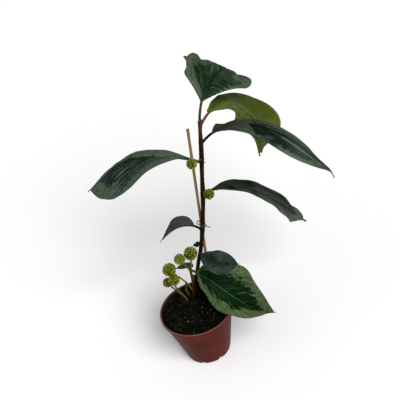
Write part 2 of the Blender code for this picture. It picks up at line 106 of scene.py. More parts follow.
BASAL_STALKS = [
    ((5.0, 27.0, 44.0), (4.6, 26.4, 58.0), (6.4, 25.4, 72.0), 1.2),
    ((-5.0, 25.5, 44.0), (-4.6, 25.0, 56.0), (-3.0, 24.4, 66.0), 1.2),
    ((-2.4, 21.6, 44.0), (-3.4, 21.4, 54.0), (-5.2, 21.2, 61.0), 1.0),
]

# The stake, and the bevel of its two ends.
STAKE_RADIUS = 1.25
STAKE_BEVEL = 0.18
STAKE_FOOT = (15.2, 18.2, 30.0)
STAKE_TOP = (39.5, 45.4, 218.8)

# The wire tie: its turns start, end and step by TIE_ANGLES in degrees, fall by TIE_DROP in each turn and
# tilt by TIE_SLOPE. TIE_CURL and TIE_END are the points before and after them.
TIE_RADIUS = 0.36
TIE_HEIGHT = 127.4
TIE_SLACK = 0.5
TIE_DROP = 1.3
TIE_SLOPE = 0.28
TIE_ANGLES = (125, 600, 19)
TIE_CURL = [(27.0, 25.0, 133.2), (25.7, 25.0, 134.6), (23.8, 25.0, 133.7), (23.9, 25.0, 131.4)]
TIE_END = [(34.4, 25.6, 122.8)]

# Small scales and buds on the main stem: place, the way each points, its length, width and colour name.
STEM_BUDS = [
    ((50.6, 41.0, 226.5), (0.0, -0.2, 1.0), 3.4, 0.9, "bud"),
    ((52.4, 41.6, 224.5), (0.5, -0.3, 1.0), 2.6, 0.8, "bud"),
    ((46.2, 37.3, 205.5), (-1.0, -0.2, 0.35), 2.2, 0.7, "scale"),
    ((45.3, 36.0, 190.0), (0.9, -0.6, 0.5), 2.4, 1.1, "scale"),
    ((45.9, 36.2, 186.5), (1.0, -0.5, -0.1), 1.8, 0.9, "scale"),
    ((34.9, 31.2, 158.6), (-0.8, -0.6, 0.5), 1.9, 0.9, "scale"),
    ((25.0, 26.0, 119.0), (-0.9, -0.5, 0.4), 1.8, 0.9, "scale"),
    ((21.8, 24.2, 108.5), (-0.6, -0.9, 0.6), 2.2, 1.0, "scale"),
]


def paint(red, green, blue):
    """A colour as a screen shows it, from 0 to 255, turned into the linear values that shaders take."""
    def linear(value):
        value /= 255
        return value / 12.92 if value <= 0.04045 else ((value + 0.055) / 1.055) ** 2.4
    return linear(red), linear(green), linear(blue)


class Leaf:
    """One leaf with its stalk, as lengths in millimetres and angles in degrees.

    foot is where its stalk leaves the stem, stalk and length are those of the stalk and the blade, and
    width is half the blade's greatest width. heading and climb turn its line at the foot, the middle
    and the tip, and twist rolls it from foot to tip. left and right give, for each half of the blade,
    how far it folds down at the base and at the tip and how much it curls under. lean widens the right
    half and narrows the left. shape is how soon the blade widens and narrows again, tail the share of
    it that is a thin drawn-out tip, and strip the least half width at the foot and at the tip. wave is
    the ripple of the margin: its height, its count along the blade and its phase. Each of the lobes is
    a hand (1 right, -1 left), a place along the blade, a spread, a widening and a lift. Each of the
    dents is a place across and along the blade, its reach across and along, and a lift.
    """

    def __init__(self, foot, stalk, length, width, heading, climb, twist=(0, 0), left=(0, 0, 12),
                 right=(0, 0, 12), lean=0.0, shape=(0.75, 1.1), tail=0.08, wave=(0.8, 3.0, 0.0),
                 strip=(1.1, 0.45), lobes=(), dents=()):
        self.foot, self.stalk, self.length, self.width = foot, stalk, length, width
        self.heading, self.climb, self.twist = heading, climb, twist
        self.left, self.right, self.lean = left, right, lean
        self.shape, self.tail, self.wave, self.strip = shape, tail, wave, strip
        self.lobes, self.dents = lobes, dents


LEAVES = {
    "leaf_01": Leaf(
        foot=(50.8, 42.6, 223), stalk=18, length=83, width=30, heading=(60, 53, 86), climb=(60, -4, -77),
        twist=(-25, -28), left=(-32, 6, 21), right=(-25, 5, 29), shape=(1.2, 1.2), wave=(1.8, 2.1, -65),
        lobes=[(1, 0.58, 0.16, 0.09, 5), (-1, 0.6, 0.18, -0.02, -5.9), (-1, 0.18, 0.05, 0.25, 0.7),
               (-1, 0.355, 0.02, 0.12, 0), (-1, 0.49, 0.06, -0.07, 3.3)],
        dents=[(-0.7, 0.41, 0.13, 0.18, -3.8), (0.12, 0.45, 0.31, 0.2, -3.4),
               (0.6, 0.6, 0.13, 0.14, -3.3), (1, 0.64, 0.23, 0.11, 0.5)]),
    "leaf_02": Leaf(
        foot=(52, 42, 222), stalk=11.2, length=105, width=23.7, heading=(15, 24, -128),
        climb=(49, -64, -91), twist=(-19, -66), left=(7, -7, 40), right=(6, 44, 22), lean=-0.28,
        shape=(1.08, 0.3), tail=0.05, wave=(0.9, 4.3, -70),
        lobes=[(-1, 0.91, 0.12, -0.77, -1.6), (1, 0.09, 0.09, 0.76, -0.6), (-1, 0.06, 0.09, 0.38, 3.7)]),
    "leaf_03": Leaf(
        foot=(47, 39.4, 204), stalk=15, length=128, width=20, heading=(2, -18, -24), climb=(45, -36, -54),
        twist=(16, -6), left=(18, 28, -18), right=(-19, 38, 23), lean=0.05, shape=(0.65, 1.1), tail=0.05,
        wave=(1.4, 1, -95),
        lobes=[(-1, 0.03, 0.03, 0.32, 3.8), (-1, 0.81, 0.1, -0.03, -1.9), (-1, 0.89, 0.05, 0.33, -1.2)],
        dents=[(0, 1.02, 3, 0.07, -3.9), (0, 0.94, 3, 0.07, 1.3)]),
    "leaf_04": Leaf(
        foot=(43, 37.1, 186.6), stalk=10.7, length=107, width=21.8, heading=(168, 169, 157),
        climb=(40, -11, -33), twist=(-8, 25), left=(-22, 8, 6), right=(-21, 19, 16), lean=-0.24,
        shape=(1.17, 0.86), tail=0.03, wave=(0.6, 3.1, -79),
        lobes=[(1, 0.68, 0.03, 0.04, 0), (1, 0.82, 0.03, 0.1, 0), (-1, 0.9, 0.05, 0.12, 0),
               (-1, 0.97, 0.02, -0.4, 0)]),
    "leaf_05": Leaf(
        foot=(36.6, 32.9, 157.5), stalk=10.5, length=118, width=16.7, heading=(26, 14, -23),
        climb=(-12, -47, -53), twist=(-22, -5), left=(-7, -11, 22), right=(-22, 6, -8), lean=-0.04,
        shape=(0.87, 0.55), tail=0.03, wave=(-0.5, 3.4, -64),
        lobes=[(-1, 0.85, 0.04, -0.18, -1.2), (1, 0.83, 0.035, 0.19, -1.1), (1, 0.96, 0.05, -0.48, 0.8),
               (-1, 1, 0.04, 0.24, 1.6)]),
    "leaf_06": Leaf(
        foot=(26.4, 27.8, 120.4), stalk=9, length=37, width=10.5, heading=(123, 186, 188),
        climb=(27, 0, -43), twist=(26, 16), left=(-50, -54, -18), right=(-27, 23, 36), lean=0.1,
        shape=(0.9, 1.3)),
    "leaf_07": Leaf(
        foot=(18.8, 24.5, 97.6), stalk=6, length=48, width=11, heading=(-94, -47, -42), climb=(37, 0, 30),
        twist=(-22, -33), left=(1, 11, 10), right=(24, 15, -22), lean=-0.05, shape=(1, 0.9), tail=0.03),
    "leaf_08": Leaf(
        foot=(5.4, 17.4, 87), stalk=6, length=84.3, width=25.1, heading=(-43, -41, -29),
        climb=(-7, -33, 12), twist=(-37, 33), left=(10, -6, -10), right=(7, -6, 38), lean=-0.26,
        shape=(0.96, 0.95), tail=0.02, wave=(1.2, 2.6, -78),
        lobes=[(1, 0.09, 0.08, 0.4, 0), (-1, 0.03, 0.05, 1.0, 0), (1, 0.94, 0.05, -0.45, 0)]),
    "leaf_09": Leaf(
        foot=(5, 18.6, 86.6), stalk=1.5, length=18.5, width=5.8, heading=(71, 156, 173),
        climb=(11, -11, -14), twist=(-17, -9), left=(-5, -3, 18), right=(-8, -8, 22), lean=0.07,
        shape=(0.62, 1.02), wave=(0.1, 2, 0)),
    "leaf_10": Leaf(
        foot=(21.8, 26.2, 108), stalk=1, length=7.5, width=4.3, heading=(176, 177, 166),
        climb=(6, -6, -54), twist=(3, -15), left=(-2, 9, 29), right=(6, 3, 28), shape=(0.7, 1.05),
        wave=(0.1, 2, 0)),
}


class Look:
    """How one leaf is coloured and quilted.

    deep and green are its dark colours, pale its margin, grey the colour of the highlights painted
    into it, rib its midrib, stalk its stalk and foot the base of the blade, up to foot_reach along it.
    line is where the midrib runs: places along and across, and rib_width is how wide it shows. centre
    is how far the dark centre reaches into the left and the right half, at places along, and feather
    how softly it ends in each half. veins counts the side veins of each half, and runs gives for each
    how steeply they rise at the foot and at the tip, and how they bend. quilt is the depth of the
    relief in millimetres and streak the strength of the painted highlight's streaks in each half. Each
    of the patches is a place across and along, its reach across and along, its tilt, and an amount:
    paler above zero and darker below. Each of the sheens is the same for the painted highlight.
    stripes is how much the pale colour follows the veins, rough the blade's roughness and shine how
    much it mirrors.
    """

    def __init__(self, deep, green, pale, painted_highlight_colour, rib, stalk, foot, foot_reach=0.06,
                 line=((0, 0), (1, 0)), rib_width=0.03, centre=((0, 0.8, 0.8), (0.9, 0.6, 0.6)),
                 feather=(0.2, 0.2), veins=(12, 12), runs=((0.3, 0.3, 0.0), (0.3, 0.3, 0.0)), quilt=0.2,
                 painted_highlight_strength=(0.3, 0.3), patches=(), sheens=(), stripes=1.1, rough=0.45, shine=0.05):
        self.deep, self.green, self.pale, self.painted_highlight_colour = deep, green, pale, painted_highlight_colour
        self.rib, self.stalk, self.foot, self.foot_reach = rib, stalk, foot, foot_reach
        self.line, self.rib_width, self.centre, self.feather = line, rib_width, centre, feather
        self.veins, self.runs, self.quilt, self.painted_highlight_strength = veins, runs, quilt, painted_highlight_strength
        self.patches, self.sheens, self.stripes = patches, sheens, stripes
        self.rough, self.shine = rough, shine


# In each look below, the highlight colour, the highlight spots and the strength of the highlight streaks
# are light painted into the leaf's colour.
LOOKS = {
    "leaf_01": Look(
        deep=(6, 22, 8), green=(20, 40, 17), pale=(72, 82, 62), painted_highlight_colour=(86, 104, 88), rib=(12, 38, 10),
        stalk=(58, 62, 28), foot=(36, 62, 22), foot_reach=0.07,
        line=[(0, 0), (0.06, 0.5), (0.1, 0.33), (0.16, 0.14), (0.25, 0.05), (0.35, 0)], rib_width=0.07,
        centre=[(0, 0.4, 1), (0.12, 0.48, 1), (0.2, 0.5, 0.8), (0.28, 0.6, 0.84), (0.33, 0.66, 0.78),
                (0.38, 0.45, 0.64), (0.48, 0.32, 0.6), (0.58, 0.26, 0.5), (0.74, 0, 0)],
        feather=(0.08, 0.15), veins=(7, 14), runs=((0.4, 0.9, 0.0), (0.25, -0.55, -0.1)), quilt=0.35,
        painted_highlight_strength=(0.3, 0.5),
        patches=[(0.75, 0.42, 0.1, 0.05, 0, -0.2), (1.0, 0.25, 0.1, 0.2, 0, 0.3),
                 (0.55, 0.52, 0.12, 0.05, 0, 0.35)],
        sheens=[(-0.2, 0.42, 0.16, 0.08, 0, 0.5), (-0.15, 0.52, 0.3, 0.08, 0, 0.7),
                (0.3, 0.7, 0.5, 0.2, 0, 0.3)], shine=0.02),
    # This leaf's tip is made paler by a patch and brighter by a highlight spot: light painted onto a tip
    # that lies in shade.
    "leaf_02": Look(
        deep=(40, 50, 4), green=(56, 68, 12), pale=(72, 84, 42), painted_highlight_colour=(130, 146, 74), rib=(96, 106, 56),
        stalk=(92, 66, 46), foot=(78, 88, 26), line=[(0, 0.1), (0.3, 0), (0.6, -0.2), (1, 0)],
        rib_width=0.025, centre=[(0, 1.3, 0), (0.5, 1.3, 0.1), (0.75, 1.3, 1.2), (1, 1.3, 1.2)],
        feather=(0.3, 0.4), veins=(9, 11), runs=((0.7, 0.9, 0.0), (-0.35, -0.5, 0.0)), quilt=0.16,
        painted_highlight_strength=(0.22, 0.32), patches=[(0.5, 0.44, 0.15, 0.06, 0, -0.6), (0, 1, 2, 0.2, 0, 1.5)],
        sheens=[(0, 1, 2, 0.2, 0, 2)], rough=0.55),
    "leaf_03": Look(
        deep=(1, 9, 1), green=(7, 20, 6), pale=(68, 78, 64), painted_highlight_colour=(96, 112, 102), rib=(88, 100, 88),
        stalk=(34, 18, 10), foot=(42, 46, 32), foot_reach=0.27, rib_width=0.04,
        centre=[(0.24, 0, 0), (0.29, 0.35, 0.85), (0.45, 0.35, 1.0), (0.5, 0.12, 0.74), (0.7, 0.12, 0.7),
                (0.8, 0, 0.3), (0.88, 0, 0)], feather=(0.16, 0.2),
        runs=((0.7, 0.7, 0.0), (1.2, 1.2, 0.0)), quilt=0.25, painted_highlight_strength=(0.1, 0.1),
        patches=[(0.28, 0.62, 0.09, 0.16, 0, 1.0), (0.55, 0.6, 0.1, 0.14, 0, -0.5)],
        sheens=[(0.28, 0.62, 0.07, 0.2, 0, 0.6), (0.72, 0.39, 0.15, 0.025, -0.2, 0.7),
                (0.5, 0.7, 0.6, 0.14, 0, 0.6), (0.5, 0.36, 0.15, 0.02, 0.5, 0.25),
                (0.88, 0.68, 0.08, 0.24, 0, 0.9), (-0.7, 0.65, 0.3, 0.2, 0, 0.6)], stripes=0.3,
        shine=0.0),
    "leaf_04": Look(
        deep=(3, 18, 9), green=(16, 34, 20), pale=(74, 88, 70), painted_highlight_colour=(84, 100, 90), rib=(14, 30, 18),
        stalk=(34, 34, 18), foot=(46, 50, 26), foot_reach=0.08,
        line=[(0, 0), (0.22, 0), (0.35, 0.2), (0.45, 0.36), (0.7, 0.5), (1, 0)],
        centre=[(0.15, 0.1, 0), (0.25, 0.4, 0.05), (0.4, 0.62, 0.1), (0.52, 0.74, 0.2),
                (0.62, 0.84, 0.22), (0.7, 0.7, 0.15), (0.78, 0.5, 0), (0.85, 0, 0)], feather=(0.18, 0.12),
        veins=(10, 13), runs=((0.65, 0.75, 0.0), (0.7, 0.7, 0.0)), quilt=0.3, painted_highlight_strength=(0.6, 0.3),
        patches=[(-0.15, 0.38, 0.25, 0.06, -0.5, 0.25), (-0.5, 0.68, 0.2, 0.05, -0.3, 0.3),
                 (0.55, 0.6, 0.08, 0.1, 0, -0.5)],
        sheens=[(0.3, 0.24, 0.3, 0.05, 0, 0.35), (-0.2, 0.32, 0.4, 0.08, 0, 0.4),
                (-0.1, 0.58, 0.2, 0.05, -0.4, 0.4)], stripes=0.3, shine=0.01),
    "leaf_05": Look(
        deep=(3, 16, 2), green=(15, 30, 10), pale=(66, 72, 60), painted_highlight_colour=(112, 120, 112), rib=(10, 20, 10),
        stalk=(16, 28, 10), foot=(36, 48, 24), foot_reach=0.1, rib_width=0.05,
        centre=[(0, 1, 1), (0.35, 1.2, 1), (0.5, 0.9, 0.9), (0.8, 0.8, 0.7), (0.9, 0, 0)], veins=(8, 8),
        runs=((1.2, 1.2, 0.0), (1.8, 1.8, 0.0)), painted_highlight_strength=(0.75, 1.0),
        sheens=[(0, 0.12, 2.0, 0.2, 0, -0.25), (-0.25, 0.57, 0.3, 0.09, 0, 0.6),
                (0.35, 0.6, 0.5, 0.16, 0, 0.35)], shine=0.0),
    "leaf_06": Look(
        deep=(42, 47, 41), green=(55, 60, 54), pale=(60, 64, 57), painted_highlight_colour=(80, 84, 80), rib=(52, 60, 54),
        stalk=(28, 32, 22), foot=(40, 46, 38), foot_reach=0.1, centre=[(0, 0.9, 0.9), (1, 0.9, 0.9)],
        veins=(9, 9), quilt=0.1, painted_highlight_strength=(0.35, 0.35), rough=0.5),
    "leaf_07": Look(
        deep=(6, 18, 12), green=(30, 40, 32), pale=(50, 60, 52), painted_highlight_colour=(74, 86, 80), rib=(26, 38, 30),
        stalk=(40, 46, 28), foot=(42, 46, 30), foot_reach=0.14,
        centre=[(0.1, 0, 0), (0.2, 0.4, 0.1), (0.3, 0.45, 0.3), (0.42, 0.35, 0.5), (0.5, 0.15, 0.35),
                (0.65, 0.2, 0.3), (0.75, 0.1, 0.1), (0.85, 0, 0)], feather=(0.16, 0.16), veins=(9, 9),
        runs=((0.5, 0.5, 0.0), (0.4, 0.4, 0.0)), quilt=0.14, painted_highlight_strength=(0.35, 0.45), rough=0.4, shine=0.03),
    "leaf_08": Look(
        deep=(1, 12, 1), green=(6, 34, 4), pale=(82, 98, 64), painted_highlight_colour=(58, 80, 64), rib=(76, 98, 72),
        stalk=(48, 72, 32), foot=(44, 64, 30), foot_reach=0.05, rib_width=0.014,
        centre=[(0.03, 0.3, 0.2), (0.15, 0.48, 0.5), (0.3, 0.56, 0.62), (0.45, 0.6, 0.45),
                (0.58, 0.64, 0.58), (0.68, 0.5, 0.34), (0.78, 0.36, 0.22), (0.88, 0, 0)],
        feather=(0.22, 0.16), runs=((0.35, 0.35, 0.0), (0.35, 0.5, 0.0)), quilt=0.26, painted_highlight_strength=(0.1, 0.2),
        sheens=[(-0.9, 0.25, 0.3, 0.25, 0, 0.75), (-0.85, 0.55, 0.2, 0.2, 0, 0.5),
                (-0.25, 0.43, 0.14, 0.03, -0.3, 0.6), (-0.3, 0.55, 0.14, 0.03, -0.35, 0.8),
                (0.35, 0.3, 0.25, 0.25, 0, 0.2), (-0.15, 0.66, 0.1, 0.04, -0.3, 0.45)], rough=0.34,
        shine=0.015),
    "leaf_09": Look(
        deep=(46, 52, 48), green=(58, 66, 58), pale=(80, 88, 70), painted_highlight_colour=(62, 66, 66), rib=(104, 112, 88),
        stalk=(84, 96, 44), foot=(90, 100, 60), foot_reach=0.1, centre=[(0, 1, 0.4), (1, 1, 0.4)],
        quilt=0.05, veins=(8, 8)),
    "leaf_10": Look(
        deep=(10, 16, 12), green=(20, 28, 24), pale=(32, 40, 34), painted_highlight_colour=(38, 46, 42), rib=(26, 34, 28),
        stalk=(26, 24, 16), foot=(24, 28, 20), quilt=0.05, veins=(7, 7)),
}

# Flower heads: centre, radius, and the points of the stalk that carries it, from its foot.
HEADS = {
    "head_1": ((10.0, 19.0, 105.0), 6.4, [(5.6, 17.4, 86.0), (7.8, 18.4, 94.0)]),
    "head_2": ((-1.1, 14.8, 105.7), 5.1, [(5.0, 17.3, 86.0), (2.0, 16.3, 95.0)]),
    "head_3": ((-13.4, 19.0, 93.1), 6.4, [(1.6, 15.9, 61.0), (-1.8, 18.0, 72.0), (-10.2, 19.2, 86.5)]),
    "head_4": ((-11.6, 7.2, 90.1), 5.4, [(-6.2, 15.8, 42.0), (-6.8, 14.8, 56.0), (-12.6, 10.6, 79.0)]),
    "head_5": ((-19.0, 18.0, 79.4), 4.4, [(-8.0, 19.8, 42.0), (-8.8, 19.4, 54.0), (-16.8, 18.2, 73.5)]),
    "head_6": ((34.2, 29.4, 193.6), 4.8, [(43.6, 36.6, 190.5), (39.6, 33.0, 192.4)]),
    "head_7": ((41.5, 28.0, 158.0), 4.9, [(36.0, 32.6, 155.0), (38.0, 30.8, 156.2)]),
}
HEAD_STALK_RADIUS = 0.75
HEAD_CORE = 0.86
FLORET_TINTS = (0.2, 1.9)

# Leaves with a blade longer than this get the finer grid, as rows along and columns across.
LARGE_BLADE = 30
FINE_GRID = (200, 72)
COARSE_GRID = (48, 24)

# Studio: the floor's size in metres, the strength of the light from all round, and each lamp's name,
# place from what the camera aims at in metres, strength, and spread in degrees.
FLOOR_SIZE = 12.0
WORLD_STRENGTH = 0.32
LAMPS = [("key_light", (0.4, -0.75, 0.8), 3.3, 38.0), ("fill_light", (-0.6, -0.3, 0.8), 0.4, 60.0)]

# Camera, in millimetres and degrees: what it aims at, how far off and how high it is, and its roll.
CAMERA_AIM = (32.35, 0.0, 176.16)
CAMERA_DISTANCE = 700.0
CAMERA_ELEVATION = 37.77
CAMERA_ROLL = -16.57
CAMERA_LENS = 74.36


class PlantSizes(bpy.types.PropertyGroup):
    """Sizes and counts of the plant's fine detail."""

    blade_thickness: bpy.props.FloatProperty(
        name="Blade thickness", description="Thickness of a leaf blade", default=0.5 * MM,
        min=0.1 * MM, max=1.0 * MM, subtype="DISTANCE", unit="LENGTH")
    quilting: bpy.props.FloatProperty(
        name="Quilting", description="Share of each leaf's full relief between its veins",
        default=1.0, min=0.0, max=2.0, subtype="FACTOR")
    pot_wall: bpy.props.FloatProperty(
        name="Pot wall", description="Thickness of the pot's wall", default=0.9 * MM,
        min=0.4 * MM, max=2.0 * MM, subtype="DISTANCE", unit="LENGTH")
    florets: bpy.props.IntProperty(
        name="Florets", description="Number of florets on each flower head", default=120, min=20, max=400)
    crumbs: bpy.props.IntProperty(
        name="Soil crumbs", description="Number of crumbs on the soil", default=1500, min=0, max=4000)
    seed: bpy.props.IntProperty(
        name="Seed", description="Seed of every random draw", default=7, min=0)


def colour_setting(name, description, default):
    """One colour that a user would change, as the linear values that shaders take."""
    return bpy.props.FloatVectorProperty(name=name, description=description, default=default,
                                         subtype="COLOR", size=3, min=0.0, max=1.0)


class PlantColours(bpy.types.PropertyGroup):
    """Colours of the parts that aren't leaves."""

    pot: colour_setting("Pot", "Colour of the pot's plastic", paint(80, 30, 21))
    soil: colour_setting("Soil", "Colour of the potting soil", paint(11, 10, 7))
    moss: colour_setting("Moss", "Colour of the moss on the soil", paint(48, 56, 22))
    perlite: colour_setting("Perlite", "Colour of the pale specks in the soil", paint(110, 106, 96))
    stem: colour_setting("Stem", "Colour of the main stem's lower part", paint(36, 19, 3))
    young_stem: colour_setting("Young stem", "Colour of the main stem near its top", paint(74, 52, 36))
    stake: colour_setting("Stake", "Colour of the wooden stake", paint(128, 96, 52))
    wire: colour_setting("Wire", "Colour of the wire tie", paint(38, 56, 48))
    floret: colour_setting("Floret", "Colour of the flower heads", paint(98, 104, 30))
    floor: colour_setting("Floor", "Colour of the studio floor", (0.9, 0.9, 0.9))


def tint(colour, amount):
    """A colour made darker, or lighter above one."""
    return tuple(amount * c for c in colour)


class Shade:
    """One procedural material: its nodes are added and joined by these calls."""

    def __init__(self, name, roughness=0.5, specular=0.5):
        self.material = bpy.data.materials.new(name)
        self.material.use_nodes = True
        self.tree = self.material.node_tree
        self.shader = self.tree.nodes["Principled BSDF"]
        self.shader.inputs["Roughness"].default_value = roughness
        self.shader.inputs["Specular IOR Level"].default_value = specular

    def node(self, kind, **settings):
        """Adds a node and sets its options."""
        made = self.tree.nodes.new(kind)
        for name, value in settings.items():
            setattr(made, name, value)
        return made

    def feed(self, value, socket):
        """Joins a socket to another, or sets the number or colour on it."""
        if isinstance(value, bpy.types.NodeSocket):
            self.tree.links.new(value, socket)
        elif isinstance(value, tuple) and socket.type == "RGBA":
            socket.default_value = (*value, 1.0)
        else:
            socket.default_value = value

    def maths(self, operation, *values, clamp=False):
        """One sum on numbers or sockets."""
        made = self.node("ShaderNodeMath", operation=operation, use_clamp=clamp)
        for value, socket in zip(values, made.inputs):
            self.feed(value, socket)
        return made.outputs[0]

    def times(self, first, second, clamp=False):
        return self.maths("MULTIPLY", first, second, clamp=clamp)

    def scaled(self, value, factor, offset):
        """A value times a factor, plus an offset."""
        return self.maths("MULTIPLY_ADD", value, factor, offset)

    def mix(self, share, first, second, blend="MIX"):
        """The first colour, blended with the second by a share."""
        made = self.node("ShaderNodeMix", data_type="RGBA", blend_type=blend)
        for value, socket in zip((share, first, second), (made.inputs[0], made.inputs[6], made.inputs[7])):
            self.feed(value, socket)
        return made.outputs[2]

    def step(self, value, low, high, start=0.0, end=1.0):
        """A smooth step from start to end as value goes from low to high."""
        made = self.node("ShaderNodeMapRange", interpolation_type="SMOOTHSTEP")
        for given, socket in zip((value, low, high, start, end), made.inputs):
            self.feed(given, socket)
        return made.outputs[0]

    def speckle(self, place, scale, detail=2.0, rough=0.5):
        """Cloudy noise between 0 and 1 at a place."""
        made = self.node("ShaderNodeTexNoise")
        self.feed(place, made.inputs["Vector"])
        for name, value in (("Scale", scale), ("Detail", detail), ("Roughness", rough)):
            self.feed(value, made.inputs[name])
        return made.outputs["Fac"]

    def cells(self, place, scale, feature="F1"):
        """How far a place is from the middle of its small cell, or from that cell's edge."""
        made = self.node("ShaderNodeTexVoronoi", feature=feature)
        self.feed(place, made.inputs["Vector"])
        self.feed(scale, made.inputs["Scale"])
        return made.outputs["Distance"]

    def object_place(self):
        """The place in the object's own coordinates."""
        return self.node("ShaderNodeTexCoord").outputs["Object"]

    def map_place(self):
        """Across and along the piece's own map, each from 0 to 1."""
        split = self.node("ShaderNodeSeparateXYZ")
        self.feed(self.node("ShaderNodeUVMap", uv_map="UVMap").outputs[0], split.inputs[0])
        return split.outputs[0], split.outputs[1]

    def packed(self, across, wide, along, long):
        """A place for a pattern that is packed closer by wide across the piece and by long along it."""
        made = self.node("ShaderNodeCombineXYZ")
        self.feed(self.times(across, wide), made.inputs[0])
        self.feed(self.times(along, long), made.inputs[1])
        return made.outputs[0]

    def attribute(self, name):
        """A number that the mesh holds at each of its points."""
        return self.node("ShaderNodeAttribute", attribute_name=name).outputs["Fac"]

    def bump(self, height, strength, distance):
        """Roughens the surface by a height, without moving the mesh."""
        made = self.node("ShaderNodeBump")
        made.inputs["Strength"].default_value = strength
        made.inputs["Distance"].default_value = distance
        self.feed(height, made.inputs["Height"])
        self.feed(made.outputs[0], self.shader.inputs["Normal"])

    def done(self, colour, roughness=None):
        """Joins the colour, and the roughness where it varies, and gives the material."""
        self.feed(colour, self.shader.inputs["Base Color"])
        if roughness is not None:
            self.feed(roughness, self.shader.inputs["Roughness"])
        return self.material


def blade_material(name, look):
    """A leaf's upper face: a dark quilted centre that feathers into a pale margin, and its midrib."""
    s = Shade(name, specular=look.shine)
    deep, green, margin_colour = paint(*look.deep), paint(*look.green), paint(*look.pale)
    side, turn = s.attribute("side"), s.attribute("turn")
    along = s.map_place()[1]
    out = s.maths("ABSOLUTE", side)
    grain = s.object_place()
    ragged = s.speckle(grain, 620.0, detail=4.0, rough=0.65)
    blotch = s.speckle(grain, 120.0, detail=3.0, rough=0.55)
    tufts = s.speckle(grain, 330.0, detail=3.0, rough=0.6)
    strokes = s.speckle(s.packed(turn, 1.6, side, 3.2), 1.0, detail=4.0, rough=0.62)
    cushion = s.maths("ABSOLUTE", s.maths("SINE", s.times(turn, math.pi)))
    # The side of each cushion that takes the painted highlight.
    highlight_side = s.step(s.maths("SINE", s.scaled(turn, 2 * math.pi, 0.9)), 0.3, 0.95)

    # Where the pale margin starts: ragged along the strokes and the tufts, and stepped from vein to vein.
    past = s.scaled(s.maths("SUBTRACT", strokes, 0.5), 3.2, s.attribute("margin"))
    past = s.scaled(s.maths("SUBTRACT", 0.55, cushion), look.stripes, past)
    past = s.scaled(s.maths("SUBTRACT", tufts, 0.5), 4.0, past)
    pale = s.step(past, -0.45, 0.45)

    # The dark centre is greener on the crowns of the quilting, which is painted light, and in random
    # blotches; the margin is paler on the crowns, also painted light, and mottled with green.
    crown_light_and_blotch = s.scaled(cushion, 0.45, s.times(s.step(blotch, 0.36, 0.64), 0.45))
    crown_light_and_blotch = s.scaled(s.step(tufts, 0.4, 0.62), 0.3, crown_light_and_blotch)
    dark = s.mix(s.step(crown_light_and_blotch, 0.05, 1.0), deep, green)
    crown_light_and_mottling = s.scaled(cushion, 0.4, s.step(strokes, 0.3, 0.7, 0.0, 0.7))
    light = s.mix(s.step(crown_light_and_mottling, 0.0, 1.0), paint(*tint(look.pale, 0.76)), margin_colour)
    light = s.mix(s.step(blotch, 0.5, 0.74, 0.0, 0.45), light, green)
    light = s.mix(s.step(tufts, 0.5, 0.66, 0.0, 0.5), light, green)
    colour = s.mix(pale, dark, light)

    # A painted highlight lies in strokes on one side of each cushion; painted shade darkens each side
    # vein's hollow.
    bands = s.times(s.scaled(highlight_side, 0.85, 0.15), s.step(strokes, 0.25, 0.6, 0.4, 1.1))
    sheen = s.times(s.attribute("sheen"), bands, clamp=True)
    colour = s.mix(sheen, colour, paint(*look.painted_highlight_colour))
    # Painted shade in the hollow along each side vein.
    hollow_shade = s.times(s.step(cushion, 0.65, 0.1), s.step(out, 1.0, 0.6))
    hollow_shade = s.times(hollow_shade, s.scaled(pale, -0.56 * look.stripes, 0.73 * look.stripes))
    colour = s.mix(hollow_shade, colour, deep)

    # The midrib, the foot of the blade and its thin pale rim.
    rib = s.times(s.step(out, look.rib_width, 0.5 * look.rib_width), s.step(along, 0.9, 0.5, 0.0, 0.85))
    colour = s.mix(rib, colour, paint(*look.rib))
    foot = s.step(along, look.foot_reach, 0.3 * look.foot_reach, 0.0, 0.75)
    colour = s.mix(foot, colour, paint(*look.foot))
    colour = s.mix(s.step(out, 0.96, 0.995, 0.0, 0.35), colour, margin_colour)

    net = s.cells(grain, 900.0, "DISTANCE_TO_EDGE")
    s.bump(s.scaled(net, 0.6, s.times(ragged, 0.6)), 0.4, 0.3 * MM)
    return s.done(colour, s.step(ragged, 0.2, 0.8, look.rough - 0.06, look.rough + 0.12))


def underside_material(name, look):
    """A leaf's lower face: paler, duller and even, with its veins a little lighter."""
    s = Shade(name, roughness=0.62, specular=0.06)
    green, pale = paint(*look.green), paint(*look.pale)
    grain = s.object_place()
    soft = tuple(0.45 * a + 0.55 * b for a, b in zip(green, pale))
    colour = s.mix(s.speckle(grain, 160.0, detail=3.0), soft, green)
    cushion = s.maths("ABSOLUTE", s.maths("SINE", s.times(s.attribute("turn"), math.pi)))
    colour = s.mix(s.step(cushion, 0.3, 0.05, 0.0, 0.4), colour, pale)
    s.bump(s.cells(grain, 700.0, "DISTANCE_TO_EDGE"), 0.3, 0.2 * MM)
    return s.done(colour)


def stalk_material(name, foot_colour, end_colour):
    """A smooth fleshy stalk that changes colour from its foot to its end, faintly streaked lengthwise."""
    s = Shade(name, roughness=0.5, specular=0.04)
    around, along = s.map_place()
    fibres = s.speckle(s.packed(around, 14.0, along, 3.0), 1.0, detail=3.0)
    tone = s.mix(s.step(along, 0.25, 0.75), foot_colour, end_colour)
    darker = s.mix(1.0, tone, (0.55, 0.5, 0.5), "MULTIPLY")
    s.bump(fibres, 0.3, 0.15 * MM)
    return s.done(s.mix(s.step(fibres, 0.35, 0.65), darker, tone))


